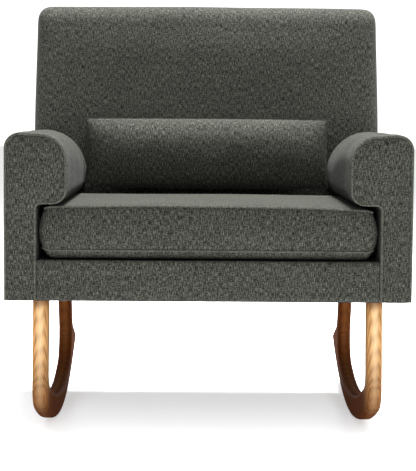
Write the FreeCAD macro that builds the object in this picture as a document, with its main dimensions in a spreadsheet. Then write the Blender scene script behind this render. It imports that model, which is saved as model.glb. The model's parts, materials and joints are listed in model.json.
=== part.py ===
"""Upholstered rocking chair: hardwood frame, sprung seat and back, padded arms, loose cushions,
and two bent-wood rockers. Millimetres, +Z up, the front of the chair faces -Y, and the origin is
on the floor under the middle of the chair's box."""
import FreeCAD, Part
import math
import os

# Driving dimensions: (alias, value, meaning). "depth" names are measured back from the front face.
DIMENSIONS = [
    ("overall_width", 800, "across the arms"),
    ("overall_depth", 800, "front face to the rocker tails"),
    ("overall_height", 908, "floor to the top of the back"),
    ("front_y", -400, "front face of the arms"),
    ("cloth", 1.5, "upholstery cloth"),
    ("gap", 0.4, "clearance between soft pieces"),
    ("seam_gap", 0.1, "clearance where one cloth laps another"),
    ("welt_gap", 0.2, "clearance beside a piping cord"),
    ("body_bottom", 290, "underside of the upholstered body"),
    ("deck_top", 368, "cloth deck under the loose cushion"),
    # rockers
    ("rocker_inner", 317.5, "inner face from the middle plane"),
    ("rocker_width", 31, "across the section"),
    ("rocker_round", 9.5, "rounding of the section's corners"),
    ("runner_radius", 870, "underside of the runner"),
    ("contact_depth", 384, "where the runner meets the floor"),
    ("runner_top_front", 900, "radius of the runner's upper side, front half"),
    ("runner_top_rear", 640, "radius of the runner's upper side, rear half"),
    ("runner_top_depth", 425, "lowest place of the upper side"),
    ("runner_top_height", 47.3, "height of that lowest place"),
    ("knee_radius", 58, "bend under the front leg"),
    ("front_leg_depth", 29, "foremost place of the knee"),
    ("front_leg_thick", 46, "front leg, front to back"),
    ("front_leg_lean", 5, "degrees back from upright"),
    ("front_bend_inner", 28, "inside of the front bend"),
    ("rear_leg_depth", 616, "front of the rear leg at the body's underside"),
    ("rear_leg_thick", 37, "rear leg, front to back"),
    ("rear_leg_lean", 18, "degrees forward from upright"),
    ("rear_bend_inner", 62, "inside of the rear bend"),
    ("tail_radius", 11, "rounded end of the tail"),
    ("tail_slope", 19.6, "degrees that the tail's top falls"),
    ("tail_fillet", 40, "between rear leg and tail"),
    ("leg_top", 343, "top of the legs inside the body"),
    # rocker bolts
    ("bolt_radius", 4, "M8 shank"),
    ("bolt_hole_radius", 4.2, "clearance hole"),
    ("bolt_low", 304, "lower bolt of each leg"),
    ("bolt_high", 331, "upper bolt of each leg"),
    ("bolt_head_radius", 7.5, "hexagon across corners, halved"),
    ("bolt_head_height", 5.3, "hexagon head"),
    ("washer_radius", 9, "flat washer"),
    ("washer_thick", 1.6, "flat washer"),
    ("nut_flange_radius", 9.5, "tee nut flange"),
    ("nut_flange_thick", 1.6, "tee nut flange"),
    ("nut_barrel_radius", 5, "tee nut barrel"),
    ("nut_barrel_length", 11, "tee nut barrel"),
    ("nut_gap", 0.1, "clearance round a tee nut in its hole"),
    ("thread_gap", 0.05, "clearance between bolt and tee nut"),
    ("bolt_short", 2, "bolt's end inside the rail's outer face"),
    ("head_gap", 1, "clearance between bolt head and glue block"),
    # frame
    ("rail_bottom", 291.5, "underside of the seat rails"),
    ("rail_top", 345, "top of the seat rails"),
    ("side_rail_thick", 25.5, "side seat rail"),
    ("rail_thick", 24, "front, rear and back rails"),
    ("front_rail_depth", 10, "front face of the front rail"),
    ("front_rail_thick", 34, "front seat rail"),
    ("rear_rail_depth", 574, "front face of the rear seat rail"),
    ("side_rail_end", 684, "rear end of the side rails"),
    ("post_thick", 20, "back post, plywood"),
    ("post_top", 880, "top of the back posts"),
    ("back_rail_height", 36, "cross rails of the back"),
    ("top_rail_drop", 2, "top rail below the posts' ends"),
    ("mid_rail_bottom", 438, "lower cross rail of the back"),
    ("spring_room", 12, "between the back's foam and its posts"),
    ("block_length", 58, "glue block beside each leg"),
    ("block_depth", 34, "glue block beside each leg"),
    ("arm_board_thick", 18, "shaped plywood at the arm's front"),
    ("arm_rail_height", 20, "top rail of the arm"),
    ("arm_inner_board", 12, "plywood inside the arm's stem"),
    ("panel_board", 3, "hardboard in the outside arm and back"),
    # springs
    ("spring_wire", 3.8, "sinuous spring wire"),
    ("spring_width", 50, "across a sinuous spring"),
    ("spring_pitch", 30, "between its loops"),
    ("seat_spring_step", 112, "between seat springs"),
    ("back_spring_step", 150, "between back springs"),
    ("clip_size", 13, "spring clip, square"),
    ("clip_thick", 3, "spring clip"),
    ("back_spring_low", 6, "lower end above the lower rail's edge"),
    ("back_spring_high", 8, "upper end below the posts' tops"),
    # arms
    ("arm_inner", 277, "inner face of the arm roll"),
    ("arm_top", 619, "top of the arm"),
    ("arm_under", 478, "underside of the arm roll"),
    ("stem_inner", 337, "inner face of the arm's stem"),
    ("arm_outer_radius", 30, "outer top edge of the arm"),
    ("arm_roll_radius", 48, "inner top edge of the arm"),
    ("arm_under_radius", 28, "lower edge of the arm roll"),
    ("arm_neck_radius", 9, "hollow under the arm roll"),
    ("arm_padding", 14, "foam over the arm's boards"),
    ("stem_gap", 4, "the arm's inside cloth ends this far above the deck"),
    ("welt_radius", 2.5, "piping cord"),
    # back
    ("back_front_depth", 582, "front of the back at arm height"),
    ("back_front_slope", 0.212, "lean of the front face, depth per height"),
    ("back_rear_depth", 695, "rear of the back at the body's underside"),
    ("back_rear_slope", 0.141, "lean of the rear face, depth per height"),
    ("back_corner", 27, "top corners of the back"),
    ("back_front_round", 44, "top front edge of the back"),
    ("back_rear_round", 26, "top rear edge of the back"),
    ("back_padding", 36, "foam of the back"),
    ("back_cap", 18, "foam over the top of the back"),
    # deck, front border and dust cover
    ("border_return", 39, "front border cloth turned back over the deck"),
    ("border_round", 2, "top front edge of the border cloth"),
    ("deck_cloth_front", 40, "front edge of the deck cloth"),
    ("deck_rear_gap", 70, "felt ends this far ahead of the rear rail"),
    ("border_pad_gap", 0.6, "border foam above the body's underside"),
    ("dust_thick", 1, "dust cover"),
    ("dust_border", 8, "dust cover in from the body's edges"),
    ("leg_slot_gap", 3, "slot in the dust cover round a leg"),
    ("staple_long", 10, "staple crown"),
    ("staple_wide", 1.2, "staple crown"),
    ("staple_deep", 0.7, "staple crown"),
    ("staple_edge", 5, "staples in from the dust cover's edge"),
    # loose cushion
    ("cushion_half", 330, "half the width of the seat cushion"),
    ("cushion_front", 3, "front of the seat cushion"),
    ("cushion_rear", 520, "rear of the seat cushion"),
    ("cushion_bottom", 369, "underside of the seat cushion"),
    ("cushion_rim", 470, "upper seam of the seat cushion"),
    ("cushion_top", 476, "crown of the seat cushion"),
    ("cushion_crown", 82, "from the seam in to the flat middle"),
    ("cushion_corner", 24, "upright corners of the seat cushion"),
    ("cushion_welt", 2, "piping cord of the seat cushion"),
    # zip of the cushion
    ("zip_margin", 30, "tape ends this far from the corners"),
    ("tape_thick", 1, "zip tape"),
    ("tape_height", 26, "zip tape"),
    ("teeth_margin", 8, "teeth end this far from the tape's ends"),
    ("teeth_thick", 1.2, "zip teeth"),
    ("teeth_height", 5, "zip teeth"),
    ("slider_start", 10, "slider from the tape's end"),
    ("slider_length", 11, "zip slider"),
    ("slider_thick", 3.4, "zip slider"),
    ("slider_height", 9, "zip slider"),
    ("slider_gap", 0.3, "clearance between slider and teeth"),
    ("pull_width", 8, "slider's pull"),
    ("pull_thick", 1.6, "slider's pull"),
    ("pull_length", 24, "slider's pull"),
    ("pull_eye", 3.5, "hole in the pull, across"),
    ("pull_eye_length", 8, "hole in the pull, along"),
    # loose pillow
    ("pillow_width", 544, "lumbar pillow"),
    ("pillow_height", 154, "lumbar pillow"),
    ("pillow_thick", 112, "lumbar pillow"),
    ("pillow_round", 48, "edges of the lumbar pillow"),
    ("pillow_bottom", 480, "lowest place of the lumbar pillow"),
]

CUT_REACH = 2000  # longer than any piece, for cuts that pass right through
TOUCHING = 1e-6   # points closer than this are one point
STAPLES_ACROSS = 11  # along the front and the rear edge of the dust cover
STAPLES_ALONG = 8    # along each side edge
LEG_NAMES = ("front", "rear")
SIDES = {"left": -1, "right": 1}

doc = FreeCAD.newDocument("rocking_chair")
sheet = doc.addObject("Spreadsheet::Sheet", "dims")
for row, (alias, value, meaning) in enumerate(DIMENSIONS, start=1):
    sheet.set(f"A{row}", alias)
    sheet.set(f"B{row}", str(value))
    sheet.setAlias(f"B{row}", alias)
    sheet.set(f"C{row}", meaning)
doc.recompute()


def size(alias):
    """A driving dimension, read back from the sheet."""
    return float(sheet.get(alias))


def y_at(depth):
    """The Y place of a depth measured back from the front face."""
    return size("front_y") + depth


def back_front_y(height, behind=0.0):
    """Y of the back's front face at a height, moved back by some amount."""
    depth = size("back_front_depth") + (height - size("arm_top")) * size("back_front_slope")
    return y_at(depth + behind)


def back_rear_y(height, ahead=0.0):
    """Y of the back's rear face at a height, moved forward by some amount."""
    depth = size("back_rear_depth") + (height - size("body_bottom")) * size("back_rear_slope")
    return y_at(depth - ahead)


def recline():
    """Lean of the back's front face in degrees."""
    return math.degrees(math.atan(size("back_front_slope")))


# ---------------------------------------------------------------- outlines and PartDesign helpers

def rounded_outline(corners):
    """Closed outline of lines and tangent arcs; each corner is (across, up, radius)."""
    stretches = []
    for index, (across, up, radius) in enumerate(corners):
        here = FreeCAD.Vector(across, up, 0)
        back = (FreeCAD.Vector(*corners[index - 1][:2], 0) - here).normalize()
        ahead = (FreeCAD.Vector(*corners[(index + 1) % len(corners)][:2], 0) - here).normalize()
        half = back.getAngle(ahead) / 2
        reach = radius / math.tan(half)
        inward = (back + ahead).normalize() if radius else FreeCAD.Vector()
        crown = here + inward * (radius / math.sin(half) - radius)
        stretches.append((here + back * reach, crown, here + ahead * reach, radius))
    edges = []
    for index, (start, crown, end, radius) in enumerate(stretches):
        if radius:
            edges.append(Part.Arc(start, crown, end))
        following = stretches[(index + 1) % len(stretches)][0]
        if (following - end).Length > TOUCHING:
            edges.append(Part.LineSegment(end, following))
    return edges


def new_body(label):
    """An empty body that will be one solid piece."""
    owner = doc.addObject("PartDesign::Body", label)
    owner.Label = label
    return owner


def new_sketch(owner, plane, name, edges, offset="0"):
    """A sketch on one of the body's own planes, moved along its normal by an expression."""
    sketch = owner.newObject("Sketcher::SketchObject", name)
    support = next(each for each in owner.Origin.OriginFeatures if each.Role == plane)
    sketch.AttachmentSupport = [(support, "")]
    sketch.MapMode = "FlatFace"
    sketch.setExpression("AttachmentOffset.Base.z", offset)
    sketch.addGeometry(edges, False)
    return sketch


def add_pad(owner, sketch, length, reverse=False, middle=False):
    """Material of a length given by an expression."""
    feature = owner.newObject("PartDesign::Pad", sketch.Name + "_pad")
    feature.Profile = sketch
    feature.setExpression("Length", length)
    feature.Reversed = reverse
    feature.Midplane = middle
    return feature


def add_fillet(owner, base, radius, chosen):
    """Round the edges of a feature that a test picks."""
    doc.recompute()
    names = [f"Edge{number}" for number, edge in enumerate(base.Shape.Edges, start=1) if chosen(edge)]
    feature = owner.newObject("PartDesign::Fillet", base.Name + "_round")
    feature.Base = (base, names)
    feature.setExpression("Radius", radius)
    return feature


def side_piece(label, side, edges, inner, thick):
    """A piece whose side view is an outline, from a distance beside the middle plane outwards."""
    owner = new_body(label)
    sketch = new_sketch(owner, "YZ_Plane", label + "_outline", edges, f"({inner}) * {side}")
    add_pad(owner, sketch, thick, reverse=side < 0)
    return owner


def wide_piece(label, edges, width):
    """A piece whose side view is an outline, centred on the middle plane."""
    owner = new_body(label)
    sketch = new_sketch(owner, "YZ_Plane", label + "_outline", edges)
    add_pad(owner, sketch, width, middle=True)
    return owner


def front_piece(label, edges, start, thick):
    """A piece whose front view is an outline, from a depth behind the front face backwards."""
    owner = new_body(label)
    sketch = new_sketch(owner, "XZ_Plane", label + "_outline", edges, f"-(dims.front_y + {start})")
    add_pad(owner, sketch, thick, reverse=True)
    return owner


def board(label, length, width, height, left, depth, bottom):
    """A plain board: sizes and lowest corner are expressions of the sheet."""
    piece = doc.addObject("Part::Box", label)
    piece.Label = label
    piece.setExpression("Length", length)
    piece.setExpression("Width", width)
    piece.setExpression("Height", height)
    piece.setExpression("Placement.Base.x", left)
    piece.setExpression("Placement.Base.y", f"dims.front_y + {depth}")
    piece.setExpression("Placement.Base.z", bottom)
    return piece


def group(label, solids):
    """Finished solids as one piece: several identical ones, or one made by cutting and fusing."""
    piece = doc.addObject("Part::Feature", label)
    piece.Label = label
    piece.Shape = solids[0] if len(solids) == 1 else Part.makeCompound(solids)
    return piece


def prism(edges, across, thick, plane="YZ"):
    """A solid from a closed outline in side view (YZ) or front view (XZ)."""
    face = Part.Face(Part.Wire(Part.__sortEdges__([edge.toShape() for edge in edges])))
    if plane == "YZ":
        turn = FreeCAD.Rotation(FreeCAD.Vector(0, 1, 0), FreeCAD.Vector(0, 0, 1), FreeCAD.Vector(1, 0, 0))
        face.Placement = FreeCAD.Placement(FreeCAD.Vector(across, 0, 0), turn)
        return face.extrude(FreeCAD.Vector(thick, 0, 0))
    turn = FreeCAD.Rotation(FreeCAD.Vector(1, 0, 0), FreeCAD.Vector(0, 0, 1), FreeCAD.Vector(0, -1, 0))
    face.Placement = FreeCAD.Placement(FreeCAD.Vector(0, across, 0), turn)
    return face.extrude(FreeCAD.Vector(0, thick, 0))


# ---------------------------------------------------------------- rockers and their bolts

def leg_line(name):
    """A leg's front line in side view: (place at the body's underside, direction up)."""
    bottom = size("body_bottom")
    if name == "rear":
        lean = math.radians(-size("rear_leg_lean"))
        return FreeCAD.Vector(y_at(size("rear_leg_depth")), bottom, 0), lean
    lean = math.radians(size("front_leg_lean"))
    centre = knee_centre()
    touch = centre + FreeCAD.Vector(-math.cos(lean), math.sin(lean), 0) * size("knee_radius")
    return touch + FreeCAD.Vector(math.tan(lean), 1, 0) * (bottom - touch.y), lean


def knee_centre():
    """Centre of the front bend, which touches the runner's underside from inside."""
    radius = size("knee_radius")
    across = y_at(size("front_leg_depth")) + radius
    aside = across - y_at(size("contact_depth"))
    drop = math.sqrt((size("runner_radius") - radius) ** 2 - aside ** 2)
    return FreeCAD.Vector(across, size("runner_radius") - drop, 0)


def on_leg(name, height, thick=0.0):
    """The point of a leg's front line at a height, or of the line a thickness behind it."""
    foot, lean = leg_line(name)
    across = foot.x + (height - foot.y) * math.tan(lean) + thick / math.cos(lean)
    return FreeCAD.Vector(across, height, 0)


def tangent_bend(point, lean, sign, radius, runner_low, runner_radius):
    """Round the corner between a leg line and the runner's top: (touch on line, crown, touch on runner)."""
    circle = runner_low + FreeCAD.Vector(0, runner_radius, 0)
    along = FreeCAD.Vector(math.sin(lean), math.cos(lean), 0)
    normal = FreeCAD.Vector(along.y, -along.x, 0) * sign
    base = point + normal * radius
    to_circle = base - circle
    reach = runner_radius - radius
    half = to_circle.dot(along)
    step = -half - math.sqrt(half ** 2 - to_circle.dot(to_circle) + reach ** 2)
    centre = base + along * step
    on_line = centre - normal * radius
    on_runner = centre + (centre - circle).normalize() * radius
    middle = ((on_line - centre) + (on_runner - centre)).normalize()
    return on_line, centre + middle * radius, on_runner


def on_runner_top(runner_low, radius, end):
    """The point halfway along the arc of the runner's top from its lowest place to an end."""
    circle = runner_low + FreeCAD.Vector(0, radius, 0)
    middle = ((runner_low - circle) + (end - circle)).normalize()
    return circle + middle * radius


def rocker_outline():
    """Side view of one rocker: front leg, knee, runner, tail and rear leg in one continuous bend."""
    top = size("leg_top")
    big_radius = size("runner_radius")
    big = FreeCAD.Vector(y_at(size("contact_depth")), big_radius, 0)
    runner_low = FreeCAD.Vector(y_at(size("runner_top_depth")), size("runner_top_height"), 0)
    front_lean = leg_line("front")[1]
    rear_lean = leg_line("rear")[1]

    knee = knee_centre()
    knee_radius = size("knee_radius")
    knee_start = knee + FreeCAD.Vector(-math.cos(front_lean), math.sin(front_lean), 0) * knee_radius
    knee_end = knee + (knee - big).normalize() * knee_radius
    knee_middle = knee + ((knee_start - knee) + (knee_end - knee)).normalize() * knee_radius

    tail_radius = size("tail_radius")
    tail_x = y_at(size("overall_depth")) - tail_radius
    rise = math.sqrt((big_radius - tail_radius) ** 2 - (tail_x - big.x) ** 2)
    tail = FreeCAD.Vector(tail_x, big_radius - rise, 0)
    tail_start = tail + (tail - big).normalize() * tail_radius
    slope = math.radians(size("tail_slope"))
    tail_normal = FreeCAD.Vector(math.sin(slope), math.cos(slope), 0)
    tail_end = tail + tail_normal * tail_radius
    tail_middle = tail + FreeCAD.Vector(tail_radius, 0, 0)

    rear_back_low = on_leg("rear", 0, size("rear_leg_thick"))
    rear_back_top = on_leg("rear", top, size("rear_leg_thick"))
    leg_run = (rear_back_top - rear_back_low).normalize()
    tail_run = FreeCAD.Vector(-math.cos(slope), math.sin(slope), 0)
    cross = leg_run.x * tail_run.y - leg_run.y * tail_run.x
    away = rear_back_low - tail_end
    meet = tail_end + tail_run * ((leg_run.x * away.y - leg_run.y * away.x) / cross)
    half = leg_run.getAngle(tail_run * -1) / 2
    fillet = size("tail_fillet")
    fillet_reach = fillet / math.tan(half)
    fillet_start = meet - tail_run * fillet_reach
    fillet_end = meet + leg_run * fillet_reach
    bisector = (leg_run - tail_run).normalize()
    fillet_middle = meet + bisector * (fillet / math.sin(half) - fillet)

    front_face = on_leg("front", top, size("front_leg_thick"))
    rear_bend = tangent_bend(on_leg("rear", top), rear_lean, -1, size("rear_bend_inner"),
                             runner_low, size("runner_top_rear"))
    front_bend = tangent_bend(front_face, front_lean, 1, size("front_bend_inner"),
                              runner_low, size("runner_top_front"))
    rear_middle = on_runner_top(runner_low, size("runner_top_rear"), rear_bend[2])
    front_middle = on_runner_top(runner_low, size("runner_top_front"), front_bend[2])
    contact = big - FreeCAD.Vector(0, big_radius, 0)

    return [
        Part.LineSegment(on_leg("front", top), knee_start),
        Part.Arc(knee_start, knee_middle, knee_end),
        Part.Arc(knee_end, contact, tail_start),
        Part.Arc(tail_start, tail_middle, tail_end),
        Part.LineSegment(tail_end, fillet_start),
        Part.Arc(fillet_start, fillet_middle, fillet_end),
        Part.LineSegment(fillet_end, rear_back_top),
        Part.LineSegment(rear_back_top, on_leg("rear", top)),
        Part.LineSegment(on_leg("rear", top), rear_bend[0]),
        Part.Arc(*rear_bend),
        Part.Arc(rear_bend[2], rear_middle, runner_low),
        Part.Arc(runner_low, front_middle, front_bend[2]),
        Part.Arc(front_bend[2], front_bend[1], front_bend[0]),
        Part.LineSegment(front_bend[0], front_face),
        Part.LineSegment(front_face, on_leg("front", top)),
    ]


def bolt_places():
    """Side-view places of the four bolts of one rocker, in the middle of each leg."""
    places = []
    for name in LEG_NAMES:
        for height in (size("bolt_low"), size("bolt_high")):
            places.append(on_leg(name, height, size(name + "_leg_thick") / 2))
    return places


def bolt_circles(radius):
    """Holes round the four bolts of one rocker."""
    axis = FreeCAD.Vector(0, 0, 1)
    return [Part.Circle(place, axis, radius) for place in bolt_places()]


def make_rocker(name, side):
    """One bent-wood rocker with rounded edges and four bolt holes."""
    label = name + "_rocker"
    owner = new_body(label)
    inner = f"dims.rocker_inner * {side}"
    sketch = new_sketch(owner, "YZ_Plane", label + "_outline", rocker_outline(), inner)
    blank = add_pad(owner, sketch, "dims.rocker_width", reverse=side < 0)

    def runs_along(edge):
        """True for an edge of a side face, apart from the leg tops."""
        box = edge.BoundBox
        return box.XLength < TOUCHING and box.ZMin < size("leg_top") - TOUCHING

    add_fillet(owner, blank, "dims.rocker_round", runs_along)
    holes = new_sketch(owner, "YZ_Plane", label + "_holes", bolt_circles(size("bolt_hole_radius")), inner)
    doc.recompute()
    cut = owner.newObject("PartDesign::Pocket", label + "_bolt_holes")
    cut.Profile = holes
    cut.Midplane = True
    cut.setExpression("Length", "dims.rocker_width * 3")
    return owner


def beside(side, start, reach, radius, place):
    """A round bar across the chair, from a distance beside the middle plane outwards."""
    foot = FreeCAD.Vector(start * side, place.x, place.y)
    return Part.makeCylinder(radius, reach, foot, FreeCAD.Vector(side, 0, 0))


def make_bolt(side, place):
    """Hexagon head bolt from the inside of a leg out into the side rail."""
    head_end = size("rocker_inner") - size("washer_thick")
    head_start = head_end - size("bolt_head_height")
    corners = []
    for step in range(6):
        turn = math.radians(60 * step)
        reach = size("bolt_head_radius")
        corners.append((place.x + reach * math.cos(turn), place.y + reach * math.sin(turn), 0))
    head = prism(rounded_outline(corners), head_start * side, size("bolt_head_height") * side)
    shank_end = size("rocker_inner") + size("rocker_width") + size("side_rail_thick") - size("bolt_short")
    shank = beside(side, head_end, shank_end - head_end, size("bolt_radius"), place)
    return head.fuse(shank)


def make_washer(side, place):
    """Flat washer under a bolt head."""
    start = size("rocker_inner") - size("washer_thick")
    disc = beside(side, start, size("washer_thick"), size("washer_radius"), place)
    return disc.cut(beside(side, start, size("washer_thick"), size("bolt_hole_radius"), place))


def make_tee_nut(side, place):
    """Tee nut let into the outer face of the side rail."""
    outer = size("rocker_inner") + size("rocker_width") + size("side_rail_thick")
    flange_start = outer - size("nut_flange_thick")
    barrel_start = flange_start - size("nut_barrel_length")
    flange_radius = size("nut_flange_radius") - size("nut_gap")
    flange = beside(side, flange_start, size("nut_flange_thick"), flange_radius, place)
    barrel = beside(side, barrel_start, size("nut_barrel_length"), size("nut_barrel_radius"), place)
    bore = beside(side, barrel_start, outer - barrel_start, size("bolt_radius") + size("thread_gap"), place)
    return flange.fuse(barrel).cut(bore)


def make_rocker_fasteners():
    """The bolts, washers and tee nuts of both rockers."""
    for label, maker in (("rocker_bolts", make_bolt), ("rocker_washers", make_washer),
                         ("rocker_tee_nuts", make_tee_nut)):
        group(label, [maker(side, place) for side in SIDES.values() for place in bolt_places()])


# ---------------------------------------------------------------- hardwood frame

def make_side_rail(name, side):
    """Side seat rail with stepped holes for the rocker bolts and their tee nuts."""
    low, high = size("rail_bottom"), size("rail_top")
    front = y_at(size("front_rail_depth") + size("front_rail_thick"))
    rear = y_at(size("side_rail_end"))
    edges = rounded_outline([(front, low, 0), (rear, low, 0), (rear, high, 0), (front, high, 0)])
    label = name + "_side_rail"
    owner = side_piece(label, side, edges, "dims.rocker_inner + dims.rocker_width", "dims.side_rail_thick")
    steps = (("bolt", size("bolt_hole_radius"), "dims.side_rail_thick"),
             ("barrel", size("nut_barrel_radius") + size("nut_gap"),
              "dims.nut_barrel_length + dims.nut_flange_thick"),
             ("flange", size("nut_flange_radius"), "dims.nut_flange_thick"))
    outer = f"(dims.rocker_inner + dims.rocker_width + dims.side_rail_thick) * {side}"
    for step, radius, deep in steps:
        sketch = new_sketch(owner, "YZ_Plane", f"{label}_{step}", bolt_circles(radius), outer)
        doc.recompute()
        before = owner.Shape.Volume
        cut = owner.newObject("PartDesign::Pocket", f"{label}_{step}_cut")
        cut.Profile = sketch
        cut.setExpression("Length", deep)
        cut.Reversed = side < 0
        doc.recompute()
        if not owner.Shape.Volume < before:
            raise RuntimeError(f"{label}: the {step} holes cut nothing")


def make_seat_rails():
    """Front rail across the side rails' ends, rear and lowest back rail between them, and glue blocks."""
    width = "2 * (dims.rocker_inner + dims.rocker_width)"
    left = "-(dims.rocker_inner + dims.rocker_width)"
    height = "dims.rail_top - dims.rail_bottom"
    long_half = "(dims.overall_width / 2 - dims.cloth - dims.arm_padding - dims.gap)"
    board("front_seat_rail", "2 * " + long_half, "dims.front_rail_thick", height, "-" + long_half,
          "dims.front_rail_depth", "dims.rail_bottom")
    board("rear_seat_rail", width, "dims.rail_thick", height, left,
          "dims.rear_rail_depth", "dims.rail_bottom")
    lowest_depth = "dims.side_rail_end - dims.rail_thick / 2"
    board("back_bottom_rail", width, "dims.rail_thick / 2", height, left, lowest_depth, "dims.rail_bottom")
    blocks = []
    head_room = size("bolt_head_height") + size("washer_thick") + size("head_gap")
    tall = size("rail_top") - size("rail_bottom")
    for side in SIDES.values():
        outer = size("rocker_inner") - head_room
        depths = (size("front_rail_depth") + size("front_rail_thick"),
                  size("rear_rail_depth") - size("block_depth"))
        for depth in depths:
            left = min(outer * side, (outer - size("block_length")) * side)
            corner = FreeCAD.Vector(left, y_at(depth), size("rail_bottom"))
            blocks.append(Part.makeBox(size("block_length"), size("block_depth"), tall, corner))
    group("glue_blocks", blocks)


def make_back_post(name, side):
    """Tapered plywood post from the side rail to the top of the back."""
    low, high = size("rail_bottom"), size("post_top")
    ahead = size("cloth") + size("panel_board") + size("gap")
    behind = post_front()
    edges = rounded_outline([
        (back_front_y(low, behind), low, 0), (back_rear_y(low, ahead), low, 0),
        (back_rear_y(high, ahead), high, 0), (back_front_y(high, behind), high, 0)])
    inner = "dims.rocker_inner + dims.rocker_width + dims.side_rail_thick"
    side_piece(name + "_back_post", side, edges, inner, "dims.post_thick")


def post_front():
    """How far the front edge of a back post lies behind the back's front face."""
    return size("back_padding") + size("cloth") + size("spring_room")


def make_back_rails():
    """Upper and lower cross rails of the back, between the posts and square to their front edge."""
    inner = size("rocker_inner") + size("rocker_width") + size("side_rail_thick")
    heights = {"back_top_rail": size("post_top") - size("back_rail_height") - size("top_rail_drop"),
               "back_lumbar_rail": size("mid_rail_bottom")}
    for label, bottom in heights.items():
        rail = doc.addObject("Part::Box", label)
        rail.Label = label
        rail.setExpression("Length", "2 * (dims.rocker_inner + dims.rocker_width + dims.side_rail_thick)")
        rail.setExpression("Width", "dims.rail_thick")
        rail.setExpression("Height", "dims.back_rail_height")
        lean = FreeCAD.Rotation(FreeCAD.Vector(1, 0, 0), -recline())
        corner = FreeCAD.Vector(-inner, back_front_y(bottom, post_front()), bottom)
        rail.Placement = FreeCAD.Placement(corner, lean)


def make_arm_frame(name, side):
    """Shaped front board, top rail, inside plywood and outside hardboard of one arm."""
    inset = size("cloth") + size("arm_padding") + size("gap")
    edges = arm_outline(side, inset, size("rail_top"))
    front_piece(name + "_arm_front_board", edges, "dims.front_rail_depth", "dims.arm_board_thick")

    rail_inner = stem_cavity_inner()
    outer = size("rocker_inner") + size("rocker_width") + size("side_rail_thick")
    top = size("arm_top") - size("cloth") - size("arm_padding") - size("gap")
    low = top - size("arm_rail_height")
    front = y_at(size("front_rail_depth") + size("front_rail_thick"))
    rear = back_rear_y(low, size("back_rear_round"))
    edges = rounded_outline([(front, low, 0), (rear, low, 0), (rear, top, 0), (front, top, 0)])
    side_piece(name + "_arm_top_rail", side, edges, str(rail_inner), str(outer - rail_inner))

    inside_low = stem_foot() + size("gap")
    inside_high = top - size("arm_rail_height")
    inside_rear = back_front_y(inside_low, size("back_padding"))
    edges = rounded_outline([(front, inside_low, 0), (inside_rear, inside_low, 0),
                             (inside_rear, inside_high, 0), (front, inside_high, 0)])
    side_piece(name + "_arm_inside_board", side, edges, str(rail_inner + size("gap")), "dims.arm_inner_board")

    ahead = size("cloth") + size("gap")
    low = size("rail_bottom")
    high = size("arm_top") - size("arm_outer_radius") - size("gap")
    edges = rounded_outline([(front, low, 0), (back_rear_y(low, ahead), low, 0),
                             (back_rear_y(high, ahead), high, 0), (front, high, 0)])
    board_inner = size("overall_width") / 2 - size("cloth") - size("gap") - size("panel_board")
    side_piece(name + "_arm_hardboard", side, edges, str(board_inner), "dims.panel_board")


def stem_cavity_inner():
    """Inner side of the space that holds the arm's boards."""
    return size("stem_inner") + size("cloth") + size("arm_padding")


def make_frame():
    """Every board of the frame."""
    make_seat_rails()
    make_back_rails()
    for name, side in SIDES.items():
        make_side_rail(name, side)
        make_back_post(name, side)
        make_arm_frame(name, side)
    high = size("post_top")
    low = size("rail_bottom")
    ahead = size("cloth") + size("gap")
    thick = ahead + size("panel_board")
    edges = rounded_outline([(back_rear_y(low, thick), low, 0), (back_rear_y(low, ahead), low, 0),
                             (back_rear_y(high, ahead), high, 0), (back_rear_y(high, thick), high, 0)])
    half = size("overall_width") / 2 - size("cloth") - 2 * (size("gap") + size("panel_board"))
    wide_piece("back_hardboard", edges, str(2 * half))


# ---------------------------------------------------------------- springs

def zigzag_wire(length):
    """A flat sinuous spring along +Y from the origin, as a solid wire of straight runs and half turns."""
    turn_radius = size("spring_pitch") / 2
    reach = size("spring_width") / 2 - turn_radius
    count = int(length // size("spring_pitch"))
    start = (length - count * size("spring_pitch")) / 2
    edges = []
    across = -reach
    along = start
    for _ in range(count):
        end = -across
        edges.append(Part.LineSegment(FreeCAD.Vector(across, along, 0), FreeCAD.Vector(end, along, 0)))
        crown = FreeCAD.Vector(end + math.copysign(turn_radius, end), along + turn_radius, 0)
        following = along + size("spring_pitch")
        edges.append(Part.Arc(FreeCAD.Vector(end, along, 0), crown, FreeCAD.Vector(end, following, 0)))
        across = end
        along = following
    last = FreeCAD.Vector(-across, along, 0)
    edges.append(Part.LineSegment(FreeCAD.Vector(across, along, 0), last))
    path = Part.Wire([edge.toShape() for edge in edges])
    radius = size("spring_wire") / 2
    profile = Part.Wire(Part.makeCircle(radius, FreeCAD.Vector(-reach, start, 0), FreeCAD.Vector(1, 0, 0)))
    wire = path.makePipeShell([profile], True, True)
    expected = math.pi * radius ** 2 * path.Length
    if abs(wire.Volume - expected) > 0.02 * expected:
        raise RuntimeError("spring wire has the wrong volume")
    return wire


def make_seat_springs():
    """Five sinuous springs from the front rail to the rear rail, held by a clip at each end."""
    start = size("front_rail_depth") + size("clip_size") / 2
    end = size("rear_rail_depth") + size("rail_thick") - size("clip_size") / 2
    wire = zigzag_wire(end - start)
    height = size("rail_top") + size("clip_thick") + size("spring_wire") / 2
    springs = []
    clips = []
    for place in range(-2, 3):
        across = place * size("seat_spring_step")
        spring = wire.copy()
        spring.translate(FreeCAD.Vector(across, y_at(start), height))
        springs.append(spring)
        for depth in (start, end - size("clip_size")):
            corner = FreeCAD.Vector(across - size("clip_size") / 2, y_at(depth), size("rail_top"))
            clips.append(Part.makeBox(size("clip_size"), size("clip_size"), size("clip_thick"), corner))
    group("seat_springs", springs)
    group("seat_spring_clips", clips)


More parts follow.
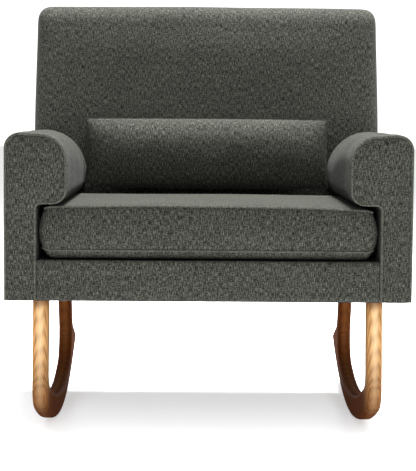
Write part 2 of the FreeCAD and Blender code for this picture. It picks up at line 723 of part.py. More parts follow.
def make_back_springs():
    """Four sinuous springs up the back, in front of its cross rails, with a clip at each end."""
    lean = FreeCAD.Rotation(FreeCAD.Vector(1, 0, 0), 90 - recline())
    low = size("mid_rail_bottom") + size("back_spring_low")
    high = size("post_top") - size("back_spring_high")
    run = (high - low) / math.cos(math.radians(recline()))
    wire = zigzag_wire(run)
    ahead = size("clip_thick") + size("spring_wire") / 2
    springs = []
    clips = []
    for place in (-1.5, -0.5, 0.5, 1.5):
        across = place * size("back_spring_step")
        foot = FreeCAD.Vector(across, back_front_y(low, post_front()), low)
        spring = wire.copy()
        spring.Placement = FreeCAD.Placement(foot + lean.multVec(FreeCAD.Vector(0, 0, ahead)), lean)
        springs.append(spring)
        for along in (0, run - size("clip_size")):
            clip = Part.makeBox(size("clip_size"), size("clip_size"), size("clip_thick"),
                                FreeCAD.Vector(-size("clip_size") / 2, along, 0))
            clip.Placement = FreeCAD.Placement(foot, lean)
            clips.append(clip)
    group("back_springs", springs)
    group("back_spring_clips", clips)


# ---------------------------------------------------------------- arms

def arm_outline(side, inset, low):
    """Front view of an arm, inset everywhere but at its foot, which is at a height."""
    outer = size("overall_width") / 2 - inset
    top = size("arm_top") - inset
    inner = size("arm_inner") + inset
    under = size("arm_under") + inset
    stem = size("stem_inner") + inset
    corners = [(outer, low, 0), (outer, top, size("arm_outer_radius") - inset),
               (inner, top, size("arm_roll_radius") - inset),
               (inner, under, size("arm_under_radius") - inset),
               (stem, under, size("arm_neck_radius") + inset), (stem, low, 0)]
    return rounded_outline([(across * side, up, radius) for across, up, radius in corners])


def behind_back(gap):
    """A large block that fills everything behind the back's front face, moved forward by a gap."""
    low, high = 0, size("overall_height") + 100
    far = y_at(CUT_REACH)
    edges = rounded_outline([(back_front_y(low, -gap), low, 0), (far, low, 0),
                             (far, high, 0), (back_front_y(high, -gap), high, 0)])
    return prism(edges, -CUT_REACH / 2, CUT_REACH)


def make_arm_pad(name, side):
    """Foam of one arm: a thin face and ring over the front board, then the solid roll and its lining."""
    cloth = size("cloth")
    welt_room = 2 * size("welt_radius") + size("welt_gap")
    front = y_at(cloth)
    board_front = y_at(size("front_rail_depth")) - size("gap")
    board_end = board_front + size("arm_board_thick") + 2 * size("gap")
    rear = y_at(size("overall_depth"))
    low = size("body_bottom")
    step = stem_foot()
    face = prism(arm_outline(side, welt_room, low), front, welt_room - cloth, "XZ")
    ring = prism(arm_outline(side, cloth, low), y_at(welt_room), board_end - y_at(welt_room), "XZ")
    pocket = prism(arm_outline(side, cloth + size("arm_padding"), low), board_front, CUT_REACH, "XZ")
    rail_room = size("rail_top") + size("gap")
    under_board = Part.makeBox(CUT_REACH, CUT_REACH, CUT_REACH,
                               FreeCAD.Vector(-CUT_REACH / 2, board_front, rail_room - CUT_REACH))
    roll = prism(arm_outline(side, cloth, step), board_end, rear - board_end, "XZ")
    hollow_side = stem_cavity_inner() * side
    hollow_reach = (size("overall_width") - stem_cavity_inner()) * side
    high = size("arm_top") - cloth - size("arm_padding")
    hollow = prism(rounded_outline([(board_end - 1, 0, 0), (rear + 1, 0, 0), (rear + 1, high, 0),
                                    (board_end - 1, high, 0)]), hollow_side, hollow_reach)
    foam = face.fuse(ring.cut(pocket).cut(under_board)).fuse(roll.cut(hollow)).removeSplitter()
    group(name + "_arm_pad", [foam.cut(behind_back(size("gap")))])


def stem_foot():
    """Height at which the arm's inside cloth and foam end, just above the deck."""
    return size("deck_top") + size("stem_gap")


def make_arm_covers(name, side):
    """Cloth of one arm: the inside cover over the roll, the outside panel and the front facing."""
    cloth = size("cloth")
    welt_room = 2 * size("welt_radius") + size("welt_gap")
    front = y_at(welt_room)
    reach = y_at(size("overall_depth")) - front
    skin = prism(arm_outline(side, 0, stem_foot()), front, reach, "XZ")
    skin = skin.cut(prism(arm_outline(side, cloth, stem_foot()), front, reach, "XZ"))
    seam = size("arm_top") - size("arm_outer_radius")
    below = Part.makeBox(CUT_REACH, CUT_REACH, CUT_REACH)
    seam_inner = size("overall_width") / 2 - size("arm_roll_radius")
    left = min(side * seam_inner, side * (seam_inner + CUT_REACH))
    below.translate(FreeCAD.Vector(left, -CUT_REACH / 2, seam - CUT_REACH))
    group(name + "_arm_cover", [skin.cut(below).cut(behind_back(size("gap")))])

    low = size("body_bottom")
    edges = rounded_outline([(front, low, 0), (back_rear_y(low), low, 0),
                             (back_rear_y(seam), seam, 0), (front, seam, 0)])
    side_piece(name + "_arm_outside_cover", side, edges, "dims.overall_width / 2 - dims.cloth", "dims.cloth")
    front_piece(name + "_arm_facing", arm_outline(side, welt_room, low), "0", "dims.cloth")


def make_arm_welt(name, side):
    """Piping round the front edge of one arm, up the outside, over the roll and down the stem."""
    inset = size("welt_radius")
    low = size("body_bottom")
    edges = [edge.toShape() for edge in arm_outline(side, inset, low)]
    run = [edge for edge in edges if edge.BoundBox.YMax > low + 1]
    path = Part.Wire(Part.__sortEdges__(run))
    path.Placement = FreeCAD.Placement(
        FreeCAD.Vector(0, y_at(inset), 0),
        FreeCAD.Rotation(FreeCAD.Vector(1, 0, 0), FreeCAD.Vector(0, 0, 1), FreeCAD.Vector(0, -1, 0)))
    start = path.OrderedVertexes[0].Point
    profile = Part.Wire(Part.makeCircle(inset, start, FreeCAD.Vector(0, 0, 1)))
    cord = path.makePipeShell([profile], True, True)
    group(name + "_arm_welt", [cord])


def make_arms():
    """Padding, cloth and piping of both arms."""
    for name, side in SIDES.items():
        make_arm_pad(name, side)
        make_arm_covers(name, side)
        make_arm_welt(name, side)


# ---------------------------------------------------------------- back

def back_block(inset):
    """The back's outer block above the arms, all round inset, open-ended below."""
    seam = size("arm_top") - size("arm_outer_radius")
    top = size("overall_height") - inset
    front_inset = inset * math.hypot(1, size("back_front_slope"))
    rear_inset = inset * math.hypot(1, size("back_rear_slope"))
    side_view = rounded_outline([
        (back_front_y(seam, front_inset), seam, 0), (back_rear_y(seam, rear_inset), seam, 0),
        (back_rear_y(top, rear_inset), top, size("back_rear_round") - inset),
        (back_front_y(top, front_inset), top, size("back_front_round") - inset)])
    half = size("overall_width") / 2 - inset
    front_view = rounded_outline([(-half, seam, 0), (half, seam, 0), (half, top, size("back_corner") - inset),
                                  (-half, top, size("back_corner") - inset)])
    from_front = prism(front_view, y_at(0), CUT_REACH, "XZ")
    return prism(side_view, -half, 2 * half).common(from_front)


def slanted_slab(start, thick, low, high, half):
    """A slab parallel to the back's front face, from a distance behind it."""
    end = start + thick
    edges = rounded_outline([(back_front_y(low, start), low, 0), (back_front_y(low, end), low, 0),
                             (back_front_y(high, end), high, 0), (back_front_y(high, start), high, 0)])
    return prism(edges, -half, 2 * half)


def half_space(bottom):
    """Everything above a height, as a block much larger than the chair."""
    corner = FreeCAD.Vector(-CUT_REACH / 2, -CUT_REACH / 2, bottom)
    return Part.makeBox(CUT_REACH, CUT_REACH, CUT_REACH, corner)


def make_back_soft():
    """Foam and cloth of the back: inside back with top and sides, and the outside back panel."""
    cloth = size("cloth")
    seam = size("arm_top") - size("arm_outer_radius")
    above_arm = size("arm_top") - cloth
    between_arms = size("stem_inner") - size("gap")
    deck = size("deck_top") + size("gap")

    front_slab = slanted_slab(0, size("back_padding") + cloth, 0, 2 * size("overall_height"), CUT_REACH)
    cap_low = size("overall_height") - cloth - size("back_cap")
    upper = back_block(cloth).common(front_slab.fuse(half_space(cap_low))).common(half_space(above_arm))
    lower = slanted_slab(cloth + size("seam_gap"), size("back_padding"), deck, above_arm, between_arms)
    group("back_pad", [upper.fuse(lower).removeSplitter()])

    shell = back_block(0).cut(back_block(cloth))
    rear_room = cloth + size("seam_gap")
    rear_cut = rounded_outline([
        (back_rear_y(0, rear_room), 0, 0), (y_at(CUT_REACH), 0, 0),
        (y_at(CUT_REACH), cap_low, 0), (back_rear_y(cap_low, rear_room), cap_low, 0)])
    shell = shell.cut(prism(rear_cut, -CUT_REACH / 2, CUT_REACH))
    slit_inner = stem_cavity_inner() - size("gap")
    slit_reach = size("overall_width") / 2 - cloth - slit_inner
    slit_high = size("arm_top") - cloth - size("arm_padding")
    for side in SIDES.values():
        left = min(side * slit_inner, side * (slit_inner + slit_reach))
        shell = shell.cut(Part.makeBox(slit_reach, CUT_REACH, CUT_REACH,
                                       FreeCAD.Vector(left, y_at(0), slit_high - CUT_REACH)))
    curtain = slanted_slab(0, cloth, deck, seam, between_arms)
    group("back_inside_cover", [shell.fuse(curtain).removeSplitter()])

    low = size("body_bottom")
    high = cap_low - size("gap")
    edges = rounded_outline([(back_rear_y(low, cloth), low, 0), (back_rear_y(low), low, 0),
                             (back_rear_y(high), high, 0), (back_rear_y(high, cloth), high, 0)])
    half = size("overall_width") / 2 - cloth
    wide_piece("back_outside_cover", edges, str(2 * half))


# ---------------------------------------------------------------- seat deck and front border

def make_deck():
    """Felt over the springs, the deck cloth, the front border's foam and cloth, and the dust cover."""
    half = size("stem_inner") - size("gap")
    spring_top = size("rail_top") + size("clip_thick") + size("spring_wire")
    deck_rear = size("rear_rail_depth") - size("deck_rear_gap")
    felt_low = spring_top + size("gap")
    felt_thick = size("deck_top") - size("cloth") - size("gap") - felt_low
    felt_front = size("cloth") + size("gap")
    width = "2 * (dims.stem_inner - dims.gap)"
    left = "-(dims.stem_inner - dims.gap)"
    felt_length = deck_rear - felt_front
    board("deck_felt", width, str(felt_length), str(felt_thick), left, str(felt_front), str(felt_low))
    board("deck_cloth", width, f"{deck_rear} - dims.deck_cloth_front", "dims.cloth", left,
          "dims.deck_cloth_front", "dims.deck_top - dims.cloth")

    low = size("body_bottom")
    pad_height = f"{felt_low - low} - dims.border_pad_gap - dims.gap"
    board("front_border_pad", width, "dims.front_rail_depth - dims.cloth", pad_height, left,
          "dims.cloth", "dims.body_bottom + dims.border_pad_gap")
    top = size("deck_top")
    back_edge = y_at(size("border_return"))
    edges = rounded_outline([
        (y_at(0), low, 0), (y_at(size("cloth")), low, 0), (y_at(size("cloth")), top - size("cloth"), 0),
        (back_edge, top - size("cloth"), 0), (back_edge, top, 0), (y_at(0), top, size("border_round"))])
    wide_piece("front_border_cover", edges, str(2 * half))
    make_dust_cover()


def leg_slot(side, name):
    """Room for a leg through the dust cover."""
    room = size("leg_slot_gap")
    bottom = size("body_bottom")
    start = on_leg(name, bottom).x - room
    lean = math.radians(size(name + "_leg_lean"))
    reach = size(name + "_leg_thick") / math.cos(lean) + 2 * room
    inner = size("rocker_inner") - room
    wide = size("rocker_width") + 2 * room
    left = min(side * inner, side * (inner + wide))
    tall = 10 * size("dust_thick")
    return Part.makeBox(wide, reach, tall, FreeCAD.Vector(left, start, bottom - tall / 2))


def staple(across, along, top, lies_across):
    """The crown of one staple against the underside of the dust cover."""
    long, wide, deep = size("staple_long"), size("staple_wide"), size("staple_deep")
    size_x, size_y = (long, wide) if lies_across else (wide, long)
    corner = FreeCAD.Vector(across - size_x / 2, along - size_y / 2, top - deep)
    return Part.makeBox(size_x, size_y, deep, corner)


def make_dust_cover():
    """Black cloth stapled under the frame, with a slot for each leg, and its staples."""
    half = size("overall_width") / 2 - size("dust_border")
    front = size("dust_border")
    rear = size("back_rear_depth") - size("dust_border")
    low = size("body_bottom") - size("dust_thick")
    corner = FreeCAD.Vector(-half, y_at(front), low)
    cloth_piece = Part.makeBox(2 * half, rear - front, size("dust_thick"), corner)
    for side in SIDES.values():
        for name in LEG_NAMES:
            cloth_piece = cloth_piece.cut(leg_slot(side, name))
    group("dust_cover", [cloth_piece])
    staples = []
    edge = size("staple_edge")
    for across in evenly(-half, half, STAPLES_ACROSS):
        for depth in (front + edge, rear - edge):
            staples.append(staple(across, y_at(depth), low, True))
    for depth in evenly(front, rear, STAPLES_ALONG):
        for across in (-half + edge, half - edge):
            staples.append(staple(across, y_at(depth), low, False))
    group("dust_cover_staples", staples)


def evenly(start, end, count):
    """Places spread evenly along a run, half a step in from its ends."""
    step = (end - start) / count
    return [start + (place + 0.5) * step for place in range(count)]


# ---------------------------------------------------------------- loose seat cushion

def cushion_rectangle(inset):
    """Plan of the seat cushion, all round inset."""
    half = size("cushion_half") - inset
    front = y_at(size("cushion_front") + inset)
    rear = y_at(size("cushion_rear") - inset)
    radius = max(size("cushion_corner") - inset, size("cushion_welt"))
    return rounded_outline([(-half, front, radius), (half, front, radius),
                            (half, rear, radius), (-half, rear, radius)])


def cushion_wire(inset, height):
    """The cushion's plan as a closed wire at a height."""
    wire = Part.Wire(Part.__sortEdges__([edge.toShape() for edge in cushion_rectangle(inset)]))
    wire.translate(FreeCAD.Vector(0, 0, height))
    return wire


def cushion_slab(inset, low, high):
    """The cushion's plan between two heights."""
    return Part.Face(cushion_wire(inset, low)).extrude(FreeCAD.Vector(0, 0, high - low))


def crowned_slab(inset, low, drop):
    """The cushion's plan from a height up to its crowned top, which is lowered by some amount."""
    rim = size("cushion_rim") - drop
    middle = cushion_wire(size("cushion_crown"), size("cushion_top") - drop)
    crown = Part.makeLoft([cushion_wire(inset, rim), middle], True, True)
    return cushion_slab(inset, low, rim).fuse(crown)


def flat_layer(label, insets, bottom, thick):
    """A piece with the cushion's plan, or the ring between two insets of it."""
    owner = new_body(label)
    edges = [edge for inset in insets for edge in cushion_rectangle(inset)]
    sketch = new_sketch(owner, "XY_Plane", label + "_outline", edges, bottom)
    add_pad(owner, sketch, thick)


def cushion_welt_loop(height):
    """One closed piping cord round the cushion at a height."""
    radius = size("cushion_welt")
    path = cushion_wire(radius, height)
    start = path.OrderedEdges[1]
    point = start.valueAt(start.FirstParameter)
    heading = start.tangentAt(start.FirstParameter)
    ordered = Part.Wire(path.OrderedEdges[1:] + path.OrderedEdges[:1])
    profile = Part.Wire(Part.makeCircle(radius, point, heading))
    return ordered.makePipeShell([profile], True, True)


def make_cushion():
    """Loose boxed seat cushion: crowned foam, two panels, boxing, piping, and the zip along its rear."""
    cloth, gap = size("cloth"), size("gap")
    bottom, rim = size("cushion_bottom"), size("cushion_rim")
    welt = size("cushion_welt")
    welt_room = 2 * welt + size("welt_gap")
    flat_layer("seat_cushion_bottom_panel", [welt_room], "dims.cushion_bottom", "dims.cloth")
    under_panel = crowned_slab(welt_room, rim - 2 * cloth, cloth)
    group("seat_cushion_top_panel", [crowned_slab(welt_room, rim - cloth, 0).cut(under_panel)])
    flat_layer("seat_cushion_boxing", [0, cloth], f"dims.cushion_bottom + {welt_room}",
               f"dims.cushion_rim - dims.cushion_bottom - 2 * {welt_room}")
    group("seat_cushion_welts", [cushion_welt_loop(bottom + welt), cushion_welt_loop(rim - welt)])
    core_room = welt_room + gap
    core = crowned_slab(core_room, bottom + cloth + gap, cloth + gap)
    girdle = cushion_slab(cloth + gap, bottom + core_room, rim - core_room)
    group("seat_cushion_foam", [core.fuse(girdle).removeSplitter()])
    make_zip()


def make_zip():
    """Zip tape along the cushion's rear boxing, and the slider that runs along it."""
    gap = size("slider_gap")
    tape_half = size("cushion_half") - size("cushion_corner") - size("zip_margin")
    teeth_half = tape_half - size("teeth_margin")
    tape_height, teeth_height = size("tape_height"), size("teeth_height")
    rear = y_at(size("cushion_rear"))
    face = rear + size("tape_thick")
    middle = (size("cushion_bottom") + size("cushion_rim")) / 2
    tape = Part.makeBox(2 * tape_half, size("tape_thick"), tape_height,
                        FreeCAD.Vector(-tape_half, rear, middle - tape_height / 2))
    teeth = Part.makeBox(2 * teeth_half, size("teeth_thick"), teeth_height,
                         FreeCAD.Vector(-teeth_half, face, middle - teeth_height / 2))
    group("seat_cushion_zip", [tape.fuse(teeth).removeSplitter()])

    left = -tape_half + size("slider_start")
    length, thick, height = size("slider_length"), size("slider_thick"), size("slider_height")
    shell = Part.makeBox(length, thick, height, FreeCAD.Vector(left, face + gap / 2, middle - height / 2))
    track = Part.makeBox(length + 2 * gap, size("teeth_thick") + gap, teeth_height + 2 * gap,
                         FreeCAD.Vector(left - gap, face, middle - teeth_height / 2 - gap))
    width, hang, eye = size("pull_width"), size("pull_length"), size("pull_eye")
    pull_front = face + thick - size("pull_thick") / 2
    pull_left = left + (length - width) / 2
    pull_low = middle - height / 2 - hang + width
    pull = Part.makeBox(width, size("pull_thick"), hang, FreeCAD.Vector(pull_left, pull_front, pull_low))
    hole = Part.makeBox(eye, size("pull_thick"), size("pull_eye_length"),
                        FreeCAD.Vector(pull_left + (width - eye) / 2, pull_front, pull_low + eye))
    group("seat_cushion_zip_slider", [shell.cut(track).fuse(pull.cut(hole)).removeSplitter()])


# ---------------------------------------------------------------- loose lumbar pillow

def pillow_block(inset):
    """Rounded block of the pillow in its own upright frame, middle of its base edge at the origin."""
    width = size("pillow_width") - 2 * inset
    thick = size("pillow_thick") - 2 * inset
    tall = size("pillow_height") - 2 * inset
    block = Part.makeBox(width, thick, tall, FreeCAD.Vector(-width / 2, inset - size("pillow_thick"), inset))
    return block.makeFillet(size("pillow_round") - inset, block.Edges)


def make_pillow():
    """Loose lumbar pillow: its fill and the two cloth panels sewn together round a knife edge."""
    fill = pillow_block(size("cloth") + size("gap"))
    skin = pillow_block(0).cut(pillow_block(size("cloth")))
    middle = -size("pillow_thick") / 2
    half = Part.makeBox(CUT_REACH, CUT_REACH, CUT_REACH,
                        FreeCAD.Vector(-CUT_REACH / 2, middle, -CUT_REACH / 2))
    panels = {"lumbar_pillow_fill": fill, "lumbar_pillow_rear_panel": skin.common(half),
              "lumbar_pillow_front_panel": skin.cut(half)}
    lean = FreeCAD.Rotation(FreeCAD.Vector(1, 0, 0), -recline())
    low = size("pillow_bottom")
    drop = size("pillow_round") * (1 - math.cos(math.radians(recline())))
    foot = FreeCAD.Vector(0, back_front_y(low, -2 * size("gap")), low + drop)
    for label, shape in panels.items():
        piece = group(label, [shape])
        piece.Placement = FreeCAD.Placement(foot, lean)


# ---------------------------------------------------------------- build, check and write

def build():
    """Build every piece in the document."""
    for name, side in SIDES.items():
        make_rocker(name, side)
    make_rocker_fasteners()
    make_frame()
    make_seat_springs()
    make_back_springs()
    make_deck()
    make_arms()
    make_back_soft()
    make_cushion()
    make_pillow()


def write_pieces():
    """Check every object and piece, then write one file for each piece."""
    doc.recompute()
    for each in doc.Objects:
        if "Invalid" in each.State or "Error" in each.State:
            raise RuntimeError(f"{each.Label}: {each.State}")
    kinds = ("PartDesign::Body", "Part::Box", "Part::Feature")
    pieces = [each for each in doc.Objects if each.TypeId in kinds]
    for piece in pieces:
        shape = piece.Shape
        if shape.isNull() or not shape.isValid() or not shape.Solids:
            raise RuntimeError(f"{piece.Label}: no valid solid")
    os.makedirs("parts", exist_ok=True)
    for piece in pieces:
        piece.Shape.exportStep(f"parts/{piece.Label}.step")
        print(f"{piece.Label}: {len(piece.Shape.Solids)} solid(s), {piece.Shape.Volume / 1000:.1f} cm3")
    print(len(pieces), "pieces")


build()
write_pieces()
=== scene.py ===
"""Looks of an upholstered rocking chair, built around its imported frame.

Metres, +Z up, the front of the chair faces -Y, +X is to the right seen from the front.
"""
import json
import logging
import math
from dataclasses import dataclass
from enum import Enum
from typing import ClassVar

import bmesh
import bpy
import numpy as np
from mathutils import Matrix, Vector, noise


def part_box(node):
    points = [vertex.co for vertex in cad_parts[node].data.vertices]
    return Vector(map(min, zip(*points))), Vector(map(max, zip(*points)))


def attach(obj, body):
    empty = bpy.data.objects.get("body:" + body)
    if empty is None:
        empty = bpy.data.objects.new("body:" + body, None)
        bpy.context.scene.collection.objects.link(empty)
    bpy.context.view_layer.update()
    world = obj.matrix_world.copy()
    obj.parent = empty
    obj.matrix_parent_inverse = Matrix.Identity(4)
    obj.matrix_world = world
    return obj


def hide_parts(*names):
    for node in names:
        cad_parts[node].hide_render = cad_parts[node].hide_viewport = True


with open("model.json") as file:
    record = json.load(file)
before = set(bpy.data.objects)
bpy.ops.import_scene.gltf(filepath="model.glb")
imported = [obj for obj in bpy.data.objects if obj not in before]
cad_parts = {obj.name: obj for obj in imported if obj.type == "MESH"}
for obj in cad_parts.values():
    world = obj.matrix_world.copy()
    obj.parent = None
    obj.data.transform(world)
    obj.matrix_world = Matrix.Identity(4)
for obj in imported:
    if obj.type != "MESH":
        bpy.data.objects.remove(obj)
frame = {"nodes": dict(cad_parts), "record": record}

log = logging.getLogger("rocking_chair")

MM = 0.001
FRONT_Y = -0.400
HALF_WIDTH = 0.400
BODY_LOW = 0.290
DECK_TOP = 0.368
ARM_TOP = 0.619
BACK_TOP = 0.908
SIDES = (("left", -1), ("right", 1))
# How far the back's front and rear faces lean for each metre of height.
FRONT_LEAN = 0.212
REAR_LEAN = 0.141

Colour = tuple[float, float, float, float]
Triple = tuple[float, float, float]
Span = tuple[float, float]
Piece = bpy.types.Object


def linear(code: str) -> Colour:
    """Turn an sRGB hex colour into the linear values that shaders take.

    Args:
        code: six hex digits.

    Returns:
        Linear red, green and blue, and an alpha of 1.
    """
    def one(start: int) -> float:
        """One channel, linear."""
        value = int(code[start:start + 2], 16) / 255
        return value / 12.92 if value <= 0.04045 else ((value + 0.055) / 1.055) ** 2.4

    return one(0), one(2), one(4), 1.0


def back_front_y(height: float) -> float:
    """Y of the back's front face at a height."""
    return FRONT_Y + 0.582 + (height - ARM_TOP) * FRONT_LEAN


def back_rear_y(height: float) -> float:
    """Y of the back's rear face at a height."""
    return FRONT_Y + 0.695 + (height - BODY_LOW) * REAR_LEAN


# ------------------------------------------------------------------ finishes

def add_node(tree: bpy.types.NodeTree, kind: str, inputs: dict | None = None,
             **settings: object) -> bpy.types.Node:
    """Add one node with its settings and links.

    Args:
        tree: the material's node tree.
        kind: the node's type.
        inputs: socket name or index, to a value or to the socket that feeds it.
        settings: the node's own properties.

    Returns:
        The new node.
    """
    node = tree.nodes.new(kind)
    for name, value in settings.items():
        setattr(node, name, value)
    for key, value in (inputs or {}).items():
        if isinstance(value, bpy.types.NodeSocket):
            tree.links.new(value, node.inputs[key])
        else:
            node.inputs[key].default_value = value
    return node


def start_material(name: str) -> tuple[bpy.types.Material, bpy.types.NodeTree]:
    """Make a material whose tree is empty.

    Args:
        name: what the finish is and how it is made.

    Returns:
        The material and its tree.
    """
    material = bpy.data.materials.new(name)
    material.use_nodes = True
    material.node_tree.nodes.clear()
    return material, material.node_tree


def finish_surface(tree: bpy.types.NodeTree, colour: bpy.types.NodeSocket, height: bpy.types.NodeSocket,
                   bump: float, depth: float, fixed: dict) -> None:
    """Give a tree its surface shader.

    Args:
        tree: the material's node tree.
        colour: the socket with the surface's colour.
        height: the socket with the relief.
        bump: strength of the relief.
        depth: depth of the relief in metres.
        fixed: the shader's own constant values, or sockets that vary over the surface.
    """
    relief = add_node(tree, "ShaderNodeBump", {"Strength": bump, "Distance": depth, "Height": height})
    shader = add_node(tree, "ShaderNodeBsdfPrincipled",
                      {"Base Color": colour, "Normal": relief.outputs["Normal"], **fixed})
    add_node(tree, "ShaderNodeOutputMaterial", {"Surface": shader.outputs["BSDF"]})


class Grain(Enum):
    """Which way a board's grain runs, as the shares of the noise along X, Y and Z per metre."""

    ACROSS = (9.0, 420.0, 420.0)
    UPRIGHT = (420.0, 420.0, 9.0)


@dataclass(frozen=True)
class HeatheredLinen:
    """Plain-woven linen blend in dyed and undyed yarn: soft mottling with slubs along the threads."""

    name: str = "heathered linen blend, plain woven"
    dark: str = "070805"
    light: str = "3f403a"
    slub: str = "6c6d66"
    # Real threads are 0.7 mm apart; they are drawn twice as coarse so that they show.
    thread_mm: float = 1.5
    # Slubs, the thick places of a yarn, run on for some 10 mm.
    slub_mm: float = 10.0
    roughness: float = 0.94
    sheen: float = 0.02

    def build(self) -> bpy.types.Material:
        """Make the material."""
        material, tree = start_material(self.name)
        place = add_node(tree, "ShaderNodeTexCoord")
        spot = add_node(tree, "ShaderNodeSeparateXYZ", {0: place.outputs["Object"]})
        facing = add_node(tree, "ShaderNodeVectorMath", {0: place.outputs["Normal"]}, operation="ABSOLUTE")
        turn = add_node(tree, "ShaderNodeSeparateXYZ", {0: facing.outputs[0]})
        not_x = add_node(tree, "ShaderNodeMath",
                         {0: turn.outputs[1], 1: turn.outputs[2]}, operation="MAXIMUM")
        sideways = add_node(tree, "ShaderNodeMath", {0: turn.outputs[0], 1: not_x.outputs[0]},
                            operation="GREATER_THAN")
        not_z = add_node(tree, "ShaderNodeMath",
                         {0: turn.outputs[0], 1: turn.outputs[1]}, operation="MAXIMUM")
        level = add_node(tree, "ShaderNodeMath", {0: turn.outputs[2], 1: not_z.outputs[0]},
                         operation="GREATER_THAN")
        weft_way = add_node(tree, "ShaderNodeMix",
                            {0: sideways.outputs[0], 2: spot.outputs[0], 3: spot.outputs[1]})
        warp_way = add_node(tree, "ShaderNodeMix",
                            {0: level.outputs[0], 2: spot.outputs[2], 3: spot.outputs[1]})
        cloth = add_node(tree, "ShaderNodeCombineXYZ", {0: weft_way.outputs[0], 1: warp_way.outputs[0]})
        fine, slow = 1000 / self.thread_mm, 1000 / self.slub_mm
        threads = []
        fuzz = fine * 0.7
        for stretch, seed in (((fine, slow, 1), 0.0), ((slow, fine, 1), 40.0), ((fuzz, fuzz, 1), 80.0)):
            drawn = add_node(tree, "ShaderNodeVectorMath",
                             {0: cloth.outputs[0], 1: stretch, 2: (seed, seed, 0)}, operation="MULTIPLY_ADD")
            threads.append(add_node(tree, "ShaderNodeTexNoise",
                                    {"Vector": drawn.outputs[0], "Scale": 1.0, "Detail": 2.0, "Roughness": 0.6},
                                    noise_dimensions="2D").outputs[0])
        warp, weft, fibre = threads
        crossed = add_node(tree, "ShaderNodeMath", {0: warp, 1: 1.15, 2: weft}, operation="MULTIPLY_ADD")
        mottled = add_node(tree, "ShaderNodeMath", {0: fibre, 1: 1.0, 2: crossed.outputs[0]},
                           operation="MULTIPLY_ADD")
        tone = add_node(tree, "ShaderNodeMapRange", {0: mottled.outputs[0], 1: 1.33, 2: 1.83, 3: 0.0, 4: 1.0})
        ground = add_node(tree, "ShaderNodeMix",
                          {0: tone.outputs[0], 6: linear(self.dark), 7: linear(self.light)}, data_type="RGBA")
        thick = add_node(tree, "ShaderNodeMapRange", {0: warp, 1: 0.58, 2: 0.82, 3: 0.0, 4: 0.5})
        yarn = add_node(tree, "ShaderNodeMix",
                        {0: thick.outputs[0], 6: ground.outputs[2], 7: linear(self.slub)}, data_type="RGBA")
        cloud = add_node(tree, "ShaderNodeTexNoise",
                         {"Vector": place.outputs["Object"], "Scale": 11.0, "Detail": 2.0})
        shade = add_node(tree, "ShaderNodeMapRange", {0: cloud.outputs[0], 1: 0.3, 2: 0.7, 3: 0.90, 4: 1.08})
        colour = add_node(tree, "ShaderNodeVectorMath", {0: yarn.outputs[2], 3: shade.outputs[0]},
                          operation="SCALE")
        finish_surface(tree, colour.outputs[0], mottled.outputs[0], 0.35, 0.8 * MM,
                       {"Roughness": self.roughness, "Specular IOR Level": 0.12, "Sheen Weight": self.sheen,
                        "Sheen Roughness": 0.5})
        return material


